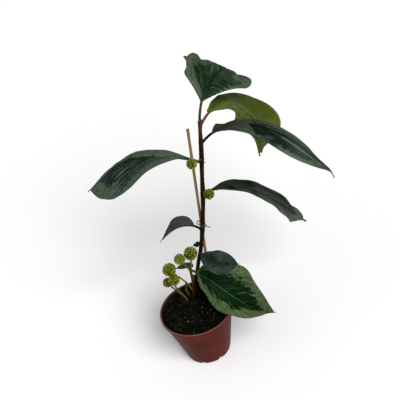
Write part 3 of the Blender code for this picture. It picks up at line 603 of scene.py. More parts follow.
def stem_material(lower, upper):
    """The main stem: red-brown and lightly ridged below, pinkish brown and smooth near its top."""
    s = Shade("stem_bark", roughness=0.5, specular=0.02)
    around, along = s.map_place()
    ridges = s.speckle(s.packed(around, 9.0, along, 22.0), 1.0, detail=4.0, rough=0.6)
    spots = s.cells(s.packed(around, 8.0, along, 90.0), 1.0)
    tone = s.mix(s.step(along, 0.72, 0.98), tuple(lower), tuple(upper))
    green = s.mix(s.step(along, 0.0, 0.3, 0.25, 0.0), tone, paint(44, 42, 16))
    darker = s.mix(1.0, green, (0.45, 0.4, 0.4), "MULTIPLY")
    colour = s.mix(s.step(ridges, 0.38, 0.62), darker, green)
    colour = s.mix(s.step(spots, 0.16, 0.05, 0.0, 0.5), colour, paint(134, 104, 74))
    s.bump(s.scaled(spots, -0.4, ridges), 0.5, 0.3 * MM)
    return s.done(colour, s.step(ridges, 0.2, 0.8, 0.42, 0.6))


def plastic_material(colour, wall):
    """Thin moulded plastic: a soft gloss, faint flow marks down the wall, scuffs near the foot and a
    painted highlight along the lip. Its inner face, past the middle of the wall, is darkened by soil
    stains and painted shade."""
    s = Shade("pot_plastic", roughness=0.4, specular=0.025)
    grain = s.object_place()
    split = s.node("ShaderNodeSeparateXYZ")
    s.feed(grain, split.inputs[0])
    height = split.outputs[2]
    wall_out = s.maths("SQRT", s.maths("ADD", *(s.maths("POWER", axis, 2.0) for axis in split.outputs[:2])))
    slope = (POT_RIM_RADIUS - POT_LIP[0] - POT_FOOT_RADIUS) / POT_HEIGHT
    inside = s.maths("SUBTRACT", s.scaled(height, slope, (POT_FOOT_RADIUS - wall / 2) * MM), wall_out)
    stretched = s.node("ShaderNodeMapping")
    stretched.inputs["Scale"].default_value = (1.0, 1.0, 0.12)
    s.feed(grain, stretched.inputs["Vector"])
    flow = s.speckle(stretched.outputs[0], 260.0, detail=3.0)
    cloud = s.speckle(grain, 34.0, detail=3.0)
    scuff = s.speckle(grain, 900.0, detail=4.0, rough=0.7)
    tone = s.mix(s.step(cloud, 0.35, 0.65), tint(colour, 0.72), tuple(colour))
    tone = s.mix(s.step(flow, 0.55, 0.75, 0.0, 0.18), tone, paint(104, 58, 48))
    dusty = s.times(s.step(height, 12 * MM, 0.0), s.step(scuff, 0.5, 0.7))
    tone = s.mix(s.times(dusty, 0.35), tone, paint(96, 82, 72))
    # The inner face is darkened: soil stains, and painted shade inside the pot.
    tone = s.mix(s.step(inside, 0.0, 0.2 * MM, 0.0, 0.9), tone, paint(26, 18, 12))
    # A painted highlight along the top of the lip.
    lip = s.step(height, (POT_HEIGHT - 0.5) * MM, (POT_HEIGHT - 0.05) * MM, 0.0, 0.6)
    tone = s.mix(lip, tone, paint(126, 88, 78))
    s.bump(s.scaled(flow, 0.7, s.times(scuff, 0.2)), 0.25, 0.2 * MM)
    return s.done(tone, s.step(scuff, 0.3, 0.8, 0.32, 0.5))


def soil_material(soil, moss):
    """Dark moist potting soil with thin mossy patches."""
    s = Shade("potting_soil", roughness=0.92, specular=0.02)
    grain = s.object_place()
    fine = s.speckle(grain, 900.0, detail=5.0, rough=0.7)
    patches = s.step(s.speckle(grain, 75.0, detail=3.0, rough=0.6), 0.5, 0.66)
    colour = s.mix(s.step(fine, 0.3, 0.7), tint(soil, 0.35), tuple(soil))
    colour = s.mix(s.times(patches, s.step(fine, 0.35, 0.6)), colour, tint(moss, 0.5))
    s.bump(fine, 0.9, 0.8 * MM)
    return s.done(colour)


def tinted_material(name, dark, light, roughness, scale, depth):
    """Many small pieces in one mesh, each with a tint of its own between two colours."""
    s = Shade(name, roughness, specular=0.05)
    spots = s.speckle(s.object_place(), scale, detail=3.0, rough=0.6)
    share = s.maths("MULTIPLY_ADD", s.maths("SUBTRACT", spots, 0.5), 0.8, s.attribute("tint"), clamp=True)
    s.bump(spots, 0.4, depth)
    return s.done(s.mix(share, dark, light))


def wood_material(colour):
    """A split wooden stake with grain along its length."""
    s = Shade("stake_wood", roughness=0.68, specular=0.08)
    around, along = s.map_place()
    fibres = s.speckle(s.packed(around, 16.0, along, 5.0), 1.0, detail=5.0, rough=0.6)
    bands = s.speckle(s.packed(around, 2.0, along, 9.0), 1.0)
    tone = s.mix(s.step(fibres, 0.35, 0.65), tint(colour, 0.45), tuple(colour))
    tone = s.mix(s.step(bands, 0.45, 0.7, 0.0, 0.5), tone, paint(152, 120, 74))
    s.bump(fibres, 0.6, 0.2 * MM)
    return s.done(tone)


def wire_material(colour):
    """Plastic-coated wire with a soft gloss and faint handling marks."""
    s = Shade("wire_coating", roughness=0.4, specular=0.2)
    marks = s.speckle(s.object_place(), 700.0, detail=3.0)
    s.bump(marks, 0.2, 0.1 * MM)
    return s.done(s.mix(s.step(marks, 0.4, 0.7), tint(colour, 0.7), tuple(colour)))


def floor_material(colour):
    """A plain pale studio floor with the faintest unevenness."""
    s = Shade("studio_floor", roughness=0.9, specular=0.1)
    return s.done(s.mix(s.speckle(s.object_place(), 3.0), tint(colour, 0.99), tuple(colour)))


def smooth_path(points, samples):
    """Points on a Catmull-Rom curve through rows of numbers, samples to a span."""
    rows = np.array(points, float)
    ends = np.vstack([2 * rows[0] - rows[1], rows, 2 * rows[-1] - rows[-2]])
    path = []
    for k in range(1, len(ends) - 2):
        a, b, c, d = ends[k - 1:k + 3]
        for t in np.arange(samples) / samples:
            path.append(0.5 * (2 * b + (c - a) * t + (2 * a - 5 * b + 4 * c - d) * t ** 2
                               + (3 * b - a - 3 * c + d) * t ** 3))
    path.append(rows[-1])
    return np.array(path)


def points_on_line(leaf, share, steps=96):
    """Points at shares of the leaf's line, which is walked from its foot in even steps."""
    stops = np.linspace(0, 1, steps + 1)
    forward = leaf_axes(leaf, stops)[0]
    moves = (forward[1:] + forward[:-1]) / 2 * (leaf.stalk + leaf.length) / steps
    line = np.vstack([np.zeros(3), np.cumsum(moves, axis=0)]) + np.array(leaf.foot)
    return np.column_stack([np.interp(share, stops, line[:, k]) for k in range(3)])


def curve_through(values, share):
    """A smooth curve through the values at the foot, the middle and the tip."""
    foot, middle, tip = values
    return foot + (4 * middle - 3 * foot - tip) * share + (2 * foot - 4 * middle + 2 * tip) * share ** 2


def ease(start, end, share):
    """From start to end, slow at both."""
    return start + (end - start) * share ** 2 * (3 - 2 * share)


def leaf_axes(leaf, share):
    """Forward, right and up of the leaf at shares of its line from foot to tip."""
    heading = np.radians(curve_through(leaf.heading, share))
    climb = np.radians(curve_through(leaf.climb, share))
    twist = np.radians(ease(*leaf.twist, share))[:, None]
    forward = np.column_stack([np.cos(climb) * np.cos(heading), np.cos(climb) * np.sin(heading),
                               np.sin(climb)])
    level = np.column_stack([np.sin(heading), -np.cos(heading), np.zeros_like(heading)])
    upright = np.cross(level, forward)
    right = np.cos(twist) * level + np.sin(twist) * upright
    return forward, right, np.cos(twist) * upright - np.sin(twist) * level


def half_width(leaf, along):
    """Half the blade's width at shares along it: a rounded blade that ends in a narrow strip."""
    rise, fall = leaf.shape
    peak = rise / (rise + fall)
    reach = np.clip(along / (1 - leaf.tail), 0, 1)
    blade = leaf.width * (reach / peak) ** rise * ((1 - reach) / (1 - peak)) ** fall
    strip = leaf.strip[0] + (leaf.strip[1] - leaf.strip[0]) * along
    return np.hypot(blade, strip)


def cross_section(fold, curl, reach):
    """How far out and down a margin lies that starts folded down and curls under, at a unit width."""
    end = fold + curl * reach
    return (np.sin(end) - np.sin(fold)) / curl, (np.cos(end) - np.cos(fold)) / curl


def blade_points(leaf, along, across):
    """Points of the blade at shares along it, for one place across it from -1 to 1."""
    share = (leaf.stalk + along * leaf.length) / (leaf.stalk + leaf.length)
    centre = points_on_line(leaf, share)
    _, right, up = leaf_axes(leaf, share)
    hand = 1 if across >= 0 else -1
    fold_base, fold_tip, curl = leaf.right if hand > 0 else leaf.left
    fold = np.radians(ease(fold_base, fold_tip, along))
    out, drop = cross_section(fold, math.radians(curl or 0.1), abs(across))
    width = half_width(leaf, along) * (1 + hand * leaf.lean)
    height, count, phase = leaf.wave
    ripple = np.sin(2 * math.pi * count * along + math.radians(phase) * hand) * np.sin(math.pi * along)
    lift = height * abs(across) ** 1.5 * ripple
    for side, middle, spread, widening, rise in leaf.lobes:
        if side == hand:
            bump = np.exp(-((along - middle) / spread) ** 2)
            width = width * (1 + widening * bump)
            lift = lift + rise * across ** 2 * bump
    for place, middle, wide, long, rise in leaf.dents:
        lift = lift + rise * np.exp(-((across - place) / wide) ** 2 - ((along - middle) / long) ** 2)
    lift = lift + drop * width
    return centre + hand * (out * width)[:, None] * right + lift[:, None] * up


def wander(across, along, wide, long, seed):
    """Smooth noise over the blade, from about -1 to 1, with its own pace across and along."""
    pairs = zip((across * wide).ravel(), (along * long).ravel())
    return np.array([noise.noise(Vector((x, y, seed))) for x, y in pairs]).reshape(across.shape)


def near(spots, across, along):
    """The sum of soft spots: each a place across and along, its reach both ways, its tilt and an amount."""
    total = np.zeros_like(across)
    for place, middle, wide, long, tilt, amount in spots:
        aside = across - place
        total += amount * np.exp(-(aside / wide) ** 2 - ((along - middle - tilt * aside) / long) ** 2)
    return total


def blade_surface(look, across, along, seed):
    """The blade's relief in millimetres, and the four numbers at each point that its colours need.

    These are the place across from the midrib, the count of veins passed, how far the point lies past
    the edge of the dark centre, and how strong the highlight painted there is.
    """
    rib = np.interp(along, *zip(*look.line))
    side = (across - rib) / (1 - np.sign(across - rib) * rib)
    out, right = abs(side), side > 0

    # Side veins: how many of them are passed, the cushions between them and the crimps at the margin.
    foot_rise, tip_rise, bend = (np.where(right, b, a) for a, b in zip(*look.runs))
    sway = 0.35 * wander(side, along, 2.0, 7.0, seed) + 0.2 * wander(side, along, 5.0, 19.0, seed + 9)
    passed = along - (foot_rise + (tip_rise - foot_rise) * along) * out - bend * out ** 2
    turn = np.where(right, look.veins[1], look.veins[0]) * passed + sway
    cushion = abs(np.sin(math.pi * turn)) ** 0.7
    ends = np.clip((1 - along) / 0.12, 0, 1)
    relief = cushion * np.clip((1 - out) / 0.15, 0, 1) * np.clip(out / 0.1, 0, 1)
    relief += 0.7 * wander(side, along, 9.0, 36.0, seed + 3) - 0.8 * np.exp(-(out / 0.05) ** 2)
    relief *= look.quilt
    crimp = 1.6 * np.maximum(0.0, out - 0.55) ** 2 * wander(1.0 * right, along, 1.0, 13.0, seed + 5)

    # Colours: how far each point lies past the edge of the dark centre, and how strong the highlight
    # painted there is.
    places, left_reach, right_reach = zip(*look.centre)
    reach = np.where(right, np.interp(along, places, right_reach), np.interp(along, places, left_reach))
    margin = out - reach + near(look.patches, across, along)
    margin += 0.06 * wander(side, along, 4.0, 11.0, seed + 7)
    margin /= np.where(right, look.feather[1], look.feather[0])
    mask = np.clip(0.75 + 0.9 * wander(side, along, 2.5, 9.0, seed + 11), 0, 1)
    painted_highlight_strength = np.where(right, look.painted_highlight_strength[1], look.painted_highlight_strength[0]) * mask * np.clip(out / 0.08, 0, 1)
    return (relief + crimp) * ends, side, turn, margin, painted_highlight_strength + near(look.sheens, across, along)


def select_only(*items):
    """Selects these pieces alone and makes the first the active one."""
    bpy.ops.object.select_all(action="DESELECT")
    for item in items:
        item.select_set(True)
    bpy.context.view_layer.objects.active = items[0]


def apply_modifier(item, kind, **settings):
    """Adds a modifier to a piece and applies it."""
    select_only(item)
    step = item.modifiers.new(kind.lower(), kind)
    for name, value in settings.items():
        setattr(step, name, value)
    bpy.ops.object.modifier_apply(modifier=step.name)


def in_edit_mode(item, *steps):
    """Runs edit-mode steps on all of a piece."""
    select_only(item)
    bpy.ops.object.mode_set(mode="EDIT")
    bpy.ops.mesh.select_all(action="SELECT")
    for step in steps:
        step()
    bpy.ops.object.mode_set(mode="OBJECT")


def close_up():
    """Welds the seam of a rolled-up grid, closes its ends and points its faces outwards."""
    bpy.ops.mesh.remove_doubles(threshold=1e-6)
    bpy.ops.mesh.fill_holes(sides=0)
    bpy.ops.mesh.normals_make_consistent(inside=False)


def add_shape(primitive, **settings):
    """Adds one of Blender's primitives with nothing else selected, and gives it back."""
    bpy.ops.object.select_all(action="DESELECT")
    primitive(**settings)
    return bpy.context.object


def add_grid(name, columns, rows):
    """A flat square grid, from -1 to 1 each way, to be bent into a piece."""
    item = add_shape(bpy.ops.mesh.primitive_grid_add, x_subdivisions=columns, y_subdivisions=rows, size=2.0)
    item.name = name
    item.data.name = name
    return item


def dress(item, *surfaces):
    """Gives a piece its materials, and no others."""
    item.data.materials.clear()
    for surface in surfaces:
        item.data.materials.append(surface)


def add_tube(name, path, radii, sides, surface, roughen=None):
    """A closed tube along a path in millimetres: a grid rolled up round it.

    roughen gives a share of the radius from the angle round the tube and the share along it.
    """
    rows = len(path) - 1
    item = add_grid(name, sides, rows)
    forward = np.gradient(path, axis=0)
    forward /= np.linalg.norm(forward, axis=1)[:, None]
    side = np.cross(forward[0], (0.3, 0.9, 0.1))
    sides_at, others_at = [], []
    for ahead in forward:
        side = side - ahead * (side @ ahead)
        side /= np.linalg.norm(side)
        sides_at.append(side)
        others_at.append(np.cross(ahead, side))
    for vertex in item.data.vertices:
        row = round((vertex.co.y + 1) / 2 * rows)
        angle = math.pi * (vertex.co.x + 1)
        radius = radii[row] * (roughen(angle % (2 * math.pi), row / rows) if roughen else 1.0)
        ring = math.cos(angle) * sides_at[row] + math.sin(angle) * others_at[row]
        vertex.co = Vector((path[row] + ring * radius) * MM)
    in_edit_mode(item, close_up)
    item.data.shade_smooth()
    item.data.set_sharp_from_angle(angle=math.radians(60))
    dress(item, surface)
    return item


def scatter(name, template, places, tints, surface):
    """Copies of one small mesh fused into a single piece, each with a tint of its own."""
    corners = np.array([vertex.co for vertex in template.vertices])
    faces = [list(face.vertices) for face in template.polygons]
    points, all_faces = [], []
    for k, matrix in enumerate(places):
        turned = corners @ np.array(matrix.to_3x3()).T + np.array(matrix.translation)
        points.append(turned)
        all_faces += [[v + k * len(corners) for v in face] for face in faces]
    mesh = bpy.data.meshes.new(name)
    mesh.from_pydata(np.vstack(points).tolist(), [], all_faces)
    mesh.shade_smooth()
    mesh.attributes.new("tint", "FLOAT", "POINT").data.foreach_set(
        "value", np.repeat(np.array(tints, np.float32), len(corners)))
    mesh.materials.append(surface)
    item = bpy.data.objects.new(name, mesh)
    bpy.context.scene.collection.objects.link(item)
    return item


def join(first, *others):
    """Makes several pieces one, under the first one's name."""
    select_only(first, *others)
    bpy.ops.object.join()
    return first


def take_mesh(item):
    """The mesh of a helper object, which is then removed."""
    mesh = item.data
    bpy.data.objects.remove(item, do_unlink=True)
    return mesh


def seat(item, slot, *nodes):
    """Makes a finished piece ride on the plant and stand for its solids."""
    item.data.name = item.name
    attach(item, "root")
    if nodes:
        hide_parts(*nodes)


def turned_to(direction, spin=0.0):
    """A rotation that turns +Z to a direction and then spins about it."""
    return Vector(direction).to_track_quat("Z", "Y").to_matrix() @ Matrix.Rotation(spin, 3, "Z")


def placed(rotation, place, scale):
    """A place, a rotation and a scale along each axis, as one matrix."""
    return Matrix.Translation(Vector(place)) @ (rotation @ Matrix.Diagonal(Vector(scale))).to_4x4()


def pot_rings(wall):
    """The pot's rings as radius and height, from its foot up the outside, over the lip and down inside."""
    lip_out, lip_deep = POT_LIP
    lip_foot = POT_HEIGHT - lip_deep
    inner_top = POT_RIM_RADIUS - lip_out - wall

    def outer(height):
        return POT_FOOT_RADIUS + (POT_RIM_RADIUS - lip_out - POT_FOOT_RADIUS) * height / POT_HEIGHT

    rings = [(POT_FOOT_RADIUS - POT_FOOT_EDGE, 0.0), (outer(POT_FOOT_EDGE), POT_FOOT_EDGE)]
    rings += [(outer(z), z) for z in np.linspace(6, lip_foot - 0.4, 9)]
    rings += [(POT_RIM_RADIUS - 0.1, lip_foot - 0.05), (POT_RIM_RADIUS, lip_foot + 0.1)]
    rings += [(POT_RIM_RADIUS, POT_HEIGHT - POT_ROUND)]
    rings += [(POT_RIM_RADIUS - POT_ROUND * 0.4, POT_HEIGHT - 0.08)]
    rings += [(POT_RIM_RADIUS - POT_ROUND, POT_HEIGHT)]
    rings += [(inner_top + POT_ROUND, POT_HEIGHT), (inner_top, POT_HEIGHT - POT_ROUND)]
    rings += [(outer(z) - wall, z) for z in np.linspace(lip_foot - 2, POT_FOOT_EDGE + POT_FLOOR, 6)]
    return [*rings, (POT_FOOT_RADIUS - POT_FOOT_EDGE - wall, POT_FLOOR)]


class PLANT_OT_pot(bpy.types.Operator):
    """Adds the tapered nursery pot with its lip and the drain openings round its foot"""

    bl_idname = "plant.pot"
    bl_label = "Add the pot"

    def execute(self, context):
        wall = context.scene.plant_sizes.pot_wall / MM
        rings = pot_rings(wall)
        pot = add_shape(bpy.ops.mesh.primitive_circle_add, vertices=POT_SIDES, radius=rings[0][0] * MM,
                        fill_type="NGON")
        pot.name = "fine_pot"
        bpy.ops.object.mode_set(mode="EDIT")
        bpy.ops.mesh.select_all(action="SELECT")
        for (last_radius, last_height), (radius, height) in zip(rings, rings[1:]):
            bpy.ops.mesh.extrude_region_move(
                TRANSFORM_OT_translate={"value": (0.0, 0.0, (height - last_height) * MM)})
            share = radius / last_radius
            bpy.ops.transform.resize(value=(share, share, 1.0), center_override=(0.0, 0.0, height * MM))
        bpy.ops.mesh.select_all(action="SELECT")
        bpy.ops.mesh.normals_make_consistent(inside=False)
        bpy.ops.object.mode_set(mode="OBJECT")
        for k in range(DRAIN_COUNT):
            self.drain(pot, (k + 0.5) * 2 * math.pi / DRAIN_COUNT)
        select_only(pot)
        bpy.ops.object.shade_smooth_by_angle(angle=math.radians(35))
        dress(pot, plastic_material(context.scene.plant_colours.pot, wall))
        seat(pot, "pot", "pot")
        return {"FINISHED"}

    def drain(self, pot, angle):
        """Cuts one round drain opening through the foot of the wall."""
        cutter = add_shape(
            bpy.ops.mesh.primitive_cylinder_add, vertices=24, radius=DRAIN_RADIUS * MM,
            depth=2 * DRAIN_RADIUS * MM, rotation=(0.0, math.pi / 2, angle),
            location=(POT_FOOT_RADIUS * MM * math.cos(angle), POT_FOOT_RADIUS * MM * math.sin(angle),
                      DRAIN_RISE * MM))
        apply_modifier(pot, "BOOLEAN", operation="DIFFERENCE", solver="EXACT", object=cutter)
        take_mesh(cutter)


class PLANT_OT_soil(bpy.types.Operator):
    """Adds the potting soil with its crumbs, pale specks and a little moss"""

    bl_idname = "plant.soil"
    bl_label = "Add the soil"

    def execute(self, context):
        sizes, colours = context.scene.plant_sizes, context.scene.plant_colours
        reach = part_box("soil")[1].x - SOIL_EDGE_GAP * MM
        self.body(sizes, colours, reach)
        draw = np.random.default_rng(sizes.seed)
        grain = take_mesh(add_shape(bpy.ops.mesh.primitive_ico_sphere_add, subdivisions=1, radius=1.0))
        crumb_skin = tinted_material("crumbs", tint(colours.soil, 0.25), tuple(colours.soil),
                                     0.9, 1500.0, 0.3 * MM)
        moss_skin = tinted_material("moss", paint(12, 16, 6), tuple(colours.moss), 0.9, 1500.0, 0.2 * MM)
        speck_skin = tinted_material("perlite", paint(70, 68, 60), tuple(colours.perlite),
                                     0.8, 900.0, 0.2 * MM)
        self.sprinkle("soil_crumbs", grain, draw, sizes.crumbs, CRUMB_SIZES, reach, crumb_skin)
        self.sprinkle("soil_moss", grain, draw, sizes.crumbs // 2, MOSS_SIZES, reach, moss_skin, mossy=True)
        self.sprinkle("soil_perlite", grain, draw, SPECK_COUNT, SPECK_SIZES, reach, speck_skin, SPECKS)
        return {"FINISHED"}

    def body(self, sizes, colours, reach):
        """The soil itself: a lumpy round top, whose lower face is moved down to make a narrowing plug."""
        soil = add_grid("fine_soil", 130, 130)
        for vertex in soil.data.vertices:
            x, y = vertex.co.x, vertex.co.y
            flat = Vector((x * math.sqrt(1 - y * y / 2), y * math.sqrt(1 - x * x / 2), 0.0)) * reach
            vertex.co = flat + Vector((0.0, 0.0, soil_height(flat, flat.length / reach)))
        count = len(soil.data.vertices)
        apply_modifier(soil, "SOLIDIFY", thickness=SOIL_SHELL * MM, offset=-1.0)
        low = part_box("soil")[0].z
        foot = (POT_FOOT_RADIUS - POT_FOOT_EDGE - sizes.pot_wall / MM - SOIL_FOOT_GAP) * MM
        share = foot / reach
        for vertex, above in zip(soil.data.vertices[count:], soil.data.vertices[:count]):
            vertex.co = Vector((above.co.x * share, above.co.y * share, low))
        soil.data.shade_smooth()
        soil.data.set_sharp_from_angle(angle=math.radians(60))
        dress(soil, soil_material(colours.soil, colours.moss))
        seat(soil, "soil", "soil")

    def sprinkle(self, name, grain, draw, count, span, reach, surface, kept=(), mossy=False):
        """Lays crumbs on the soil, half sunk, each turned and stretched in its own way.

        The first of them are those in kept. Two in three of the mossy ones lie towards the pot's left.
        """
        places = []
        for k in range(count):
            out = math.sqrt(draw.random()) * 0.97
            angle = draw.random() * 2 * math.pi
            if mossy and k % 3:
                angle = math.pi + (angle - math.pi) * 0.55
            flat = Vector((math.cos(angle), math.sin(angle), 0.0)) * (out * (reach - span[1] * MM))
            size = (span[0] + (span[1] - span[0]) * draw.random() ** 3) * MM
            if k < len(kept):
                flat, size = Vector((kept[k][0] * MM, kept[k][1] * MM, 0.0)), kept[k][2] * MM
            tipped = Matrix.Rotation(draw.random() * 6.0, 3, "X")
            rotation = tipped @ Matrix.Rotation(draw.random() * 6.0, 3, "Z")
            place = flat + Vector((0.0, 0.0, soil_height(flat, flat.length / reach) + size * 0.2))
            places.append(placed(rotation, place, [size * (0.6 + 0.6 * draw.random()) for _ in range(3)]))
        tints = np.concatenate([np.ones(len(kept)), draw.random(count - len(kept))])
        seat(scatter(name, grain, places, tints, surface), "soil")


def soil_height(flat, out):
    """Height of the soil's top at a flat place, out being its share of the way to the pot's wall."""
    lumps = noise.noise(flat / (6.0 * MM)) * 0.8 + noise.noise(flat / (1.9 * MM)) * 0.45
    lumps += noise.noise(flat / (0.8 * MM)) * 0.2
    heap = SOIL_HEAP * max(0.0, (out - 0.72) / 0.28) ** 2
    return (SOIL_LEVEL + SOIL_DOME * (1 - out * out) + lumps + heap) * MM


class PLANT_OT_stems(bpy.types.Operator):
    """Adds the main stem with its swollen joints and small scales, the side shoot and the basal stalks"""

    bl_idname = "plant.stems"
    bl_label = "Add the stems"

    def execute(self, context):
        colours = context.scene.plant_colours
        bark = stem_material(colours.stem, colours.young_stem)
        rows = smooth_path(MAIN_STEM, 14)
        joints = [k for k, (_, _, height, radius) in enumerate(MAIN_STEM)
                  if radius > JOINT_RADIUS and height > JOINT_LOWEST]

        def swell(angle, share):
            spot = share * (len(MAIN_STEM) - 1)
            ring = sum(math.exp(-((spot - k) / 0.07) ** 2) for k in joints)
            ribs = 0.025 * math.cos(5 * angle + 6 * share)
            ribs += 0.03 * noise.noise(Vector((angle, share * 60, 1)))
            return 1.0 + 0.07 * ring + ribs

        stem = add_tube("fine_main_stem", rows[:, :3], rows[:, 3] - BARK_RELIEF, 28, bark, swell)
        surfaces = {"bud": stalk_material("bud_skin", paint(176, 136, 126), paint(120, 78, 62)),
                    "scale": stalk_material("scale_skin", paint(34, 34, 24), paint(52, 46, 30))}
        scales = []
        for k, (place, way, length, width, surface) in enumerate(STEM_BUDS, 1):
            scales.append(self.scale(f"scale_{k}", place, way, length, width, surfaces[surface]))
        seat(join(stem, *scales), "stem", "main_stem")
        shoot_rows = smooth_path(SIDE_SHOOT, 10)
        shoot = add_tube("fine_side_shoot", shoot_rows[:, :3], shoot_rows[:, 3], 20,
                         stalk_material("shoot_skin", paint(44, 24, 10), paint(74, 58, 22)))
        seat(shoot, "stem", "side_shoot")
        green = stalk_material("basal_skin", paint(64, 68, 22), paint(84, 90, 36))
        for k, (foot, middle, top, radius) in enumerate(BASAL_STALKS, 1):
            path = smooth_path([(*foot, radius), (*middle, radius), (*top, radius * 0.8)], 10)
            stalk = add_tube(f"fine_basal_stalk_{k}", path[:, :3], path[:, 3], 18, green)
            seat(stalk, "green_stalk", f"basal_stalk_{k}")
        return {"FINISHED"}

    def scale(self, name, place, way, length, width, surface):
        """A small pointed scale: a cone rounded by subdivision, its base sunk in the stem."""
        item = add_shape(bpy.ops.mesh.primitive_cone_add, vertices=10, radius1=width * MM,
                         radius2=width * 0.12 * MM, depth=length * MM)
        item.name = name
        apply_modifier(item, "SUBSURF", levels=2, render_levels=2)
        item.data.transform(placed(turned_to(way), Vector(place) * MM, (1.0, 0.7, 1.0)))
        item.data.shade_smooth()
        dress(item, surface)
        return item


class PLANT_OT_stake(bpy.types.Operator):
    """Adds the thin wooden stake"""

    bl_idname = "plant.stake"
    bl_label = "Add the stake"

    def execute(self, context):
        foot, top = np.array(STAKE_FOOT), np.array(STAKE_TOP)
        shares = np.concatenate([[0.0, 0.001], np.linspace(0.01, 0.99, 60), [0.9985, 1.0]])
        path = foot + (top - foot) * shares[:, None]
        radii = np.full(len(shares), STAKE_RADIUS)
        radii[[0, -1]] -= STAKE_BEVEL

        def splinter(angle, share):
            spot = Vector((math.cos(angle) * 2.5, math.sin(angle) * 2.5, share * 7))
            return 1.0 + 0.035 * noise.noise(spot)

        wood = wood_material(context.scene.plant_colours.stake)
        stake = add_tube("fine_stake", path, radii, 24, wood, splinter)
        seat(stake, "wood", "stake")
        return {"FINISHED"}


class PLANT_OT_tie(bpy.types.Operator):
    """Adds the wire tie round the stem and the stake"""

    bl_idname = "plant.tie"
    bl_label = "Add the wire tie"

    def execute(self, context):
        stem = smooth_path(MAIN_STEM, 8)
        *at_stem, stem_radius = stem[np.argmin(abs(stem[:, 2] - TIE_HEIGHT))]
        foot, top = np.array(STAKE_FOOT), np.array(STAKE_TOP)
        at_stake = foot + (top - foot) * (TIE_HEIGHT - foot[2]) / (top[2] - foot[2])
        lean = (top - foot) / np.linalg.norm(top - foot)
        across = (at_stake - at_stem) - lean * ((at_stake - at_stem) @ lean)
        across /= np.linalg.norm(across)
        side = np.cross(lean, across)
        clear = TIE_RADIUS + TIE_SLACK
        start, end, step = np.radians(TIE_ANGLES)
        turns = []
        for angle in np.arange(start, end + step / 2, step):
            round_stem = math.cos(angle) < 0
            reach = clear + (stem_radius if round_stem else STAKE_RADIUS)
            centre = np.array(at_stem if round_stem else at_stake)
            out = reach * (across * math.cos(angle) + side * math.sin(angle))
            down = TIE_DROP * (angle - start) / (2 * math.pi) + TIE_SLOPE * out[0]
            turns.append(centre + out - lean * down)
        path = smooth_path([*TIE_CURL, *turns, *TIE_END], 8)
        coating = wire_material(context.scene.plant_colours.wire)
        tie = add_tube("fine_wire_tie", path, [TIE_RADIUS] * len(path), 12, coating)
        seat(tie, "wire", "wire_tie")
        return {"FINISHED"}


class PLANT_OT_leaves(bpy.types.Operator):
    """Adds every leaf: a quilted blade with a pale margin, its midrib and its stalk"""

    bl_idname = "plant.leaves"
    bl_label = "Add the leaves"

    def execute(self, context):
        sizes = context.scene.plant_sizes
        for k, (name, leaf) in enumerate(LEAVES.items(), 1):
            look = LOOKS[name]
            blade = self.blade("fine_" + name, leaf, look, sizes.quilting, k)
            dress(blade, blade_material(name + "_top", look), underside_material(name + "_under", look))
            apply_modifier(blade, "SOLIDIFY", thickness=sizes.blade_thickness, offset=0.0,
                           material_offset=1, material_offset_rim=1)
            blade.data.shade_smooth()
            slot = "young_leaf" if name == "leaf_02" else "leaf"
            seat(join(blade, self.stalk(name, leaf, look)), slot, name)
        return {"FINISHED"}

    def stalk(self, name, leaf, look):
        """The leaf's stalk, which runs on under the blade as its midrib and thins towards the tip."""
        whole = leaf.stalk + leaf.length
        rib_end = 0.9 if leaf.length > LARGE_BLADE else 0.6
        share = np.linspace(0, (leaf.stalk + rib_end * leaf.length) / whole, 70)
        along = (share * whole - leaf.stalk) / leaf.length
        path = np.where((along > 0)[:, None], blade_points(leaf, np.clip(along, 0, 1), 0.0),
                        points_on_line(leaf, share))
        sunk = 0.3 + 0.75 * np.clip(along * leaf.length / 6, 0, 1)
        path -= leaf_axes(leaf, share)[2] * sunk[:, None]
        stalk_end = leaf.stalk / whole
        radii = np.interp(share, [0.0, stalk_end, min(stalk_end * 2 + 0.1, 0.8), 1.0],
                          [leaf.strip[0] + 0.15, leaf.strip[0], 0.5, 0.25])
        skin = stalk_material(name + "_stalk", paint(*look.stalk), paint(*look.green))
        return add_tube(name + "_midrib", path, radii, 14, skin)

    def blade(self, name, leaf, look, quilting, seed):
        """The blade's middle face: a grid laid along the leaf's line and raised between its veins."""
        rows, columns = FINE_GRID if leaf.length > LARGE_BLADE else COARSE_GRID
        blade = add_grid(name, columns, rows)
        along = np.linspace(0, 1, rows + 1)
        places = np.linspace(-1, 1, columns + 1)
        points = np.array([blade_points(leaf, along, across) for across in places])
        surface = blade_surface(look, *np.meshgrid(places, along, indexing="ij"), seed)
        facing = np.cross(np.gradient(points, axis=0), np.gradient(points, axis=1))
        facing /= np.linalg.norm(facing, axis=2)[:, :, None]
        points = (points + facing * (surface[0] * quilting)[:, :, None]) * MM
        columns_at = [round((vertex.co.x + 1) / 2 * columns) for vertex in blade.data.vertices]
        rows_at = [round((vertex.co.y + 1) / 2 * rows) for vertex in blade.data.vertices]
        for vertex, point in zip(blade.data.vertices, points[columns_at, rows_at]):
            vertex.co = point
        # The last of these numbers at each point is how strong the painted highlight is there.
        for kind, values in zip(("side", "turn", "margin", "sheen"), surface[1:]):
            shade = blade.data.attributes.new(kind, "FLOAT", "POINT")
            shade.data.foreach_set("value", values[columns_at, rows_at].astype(np.float32))
        return blade


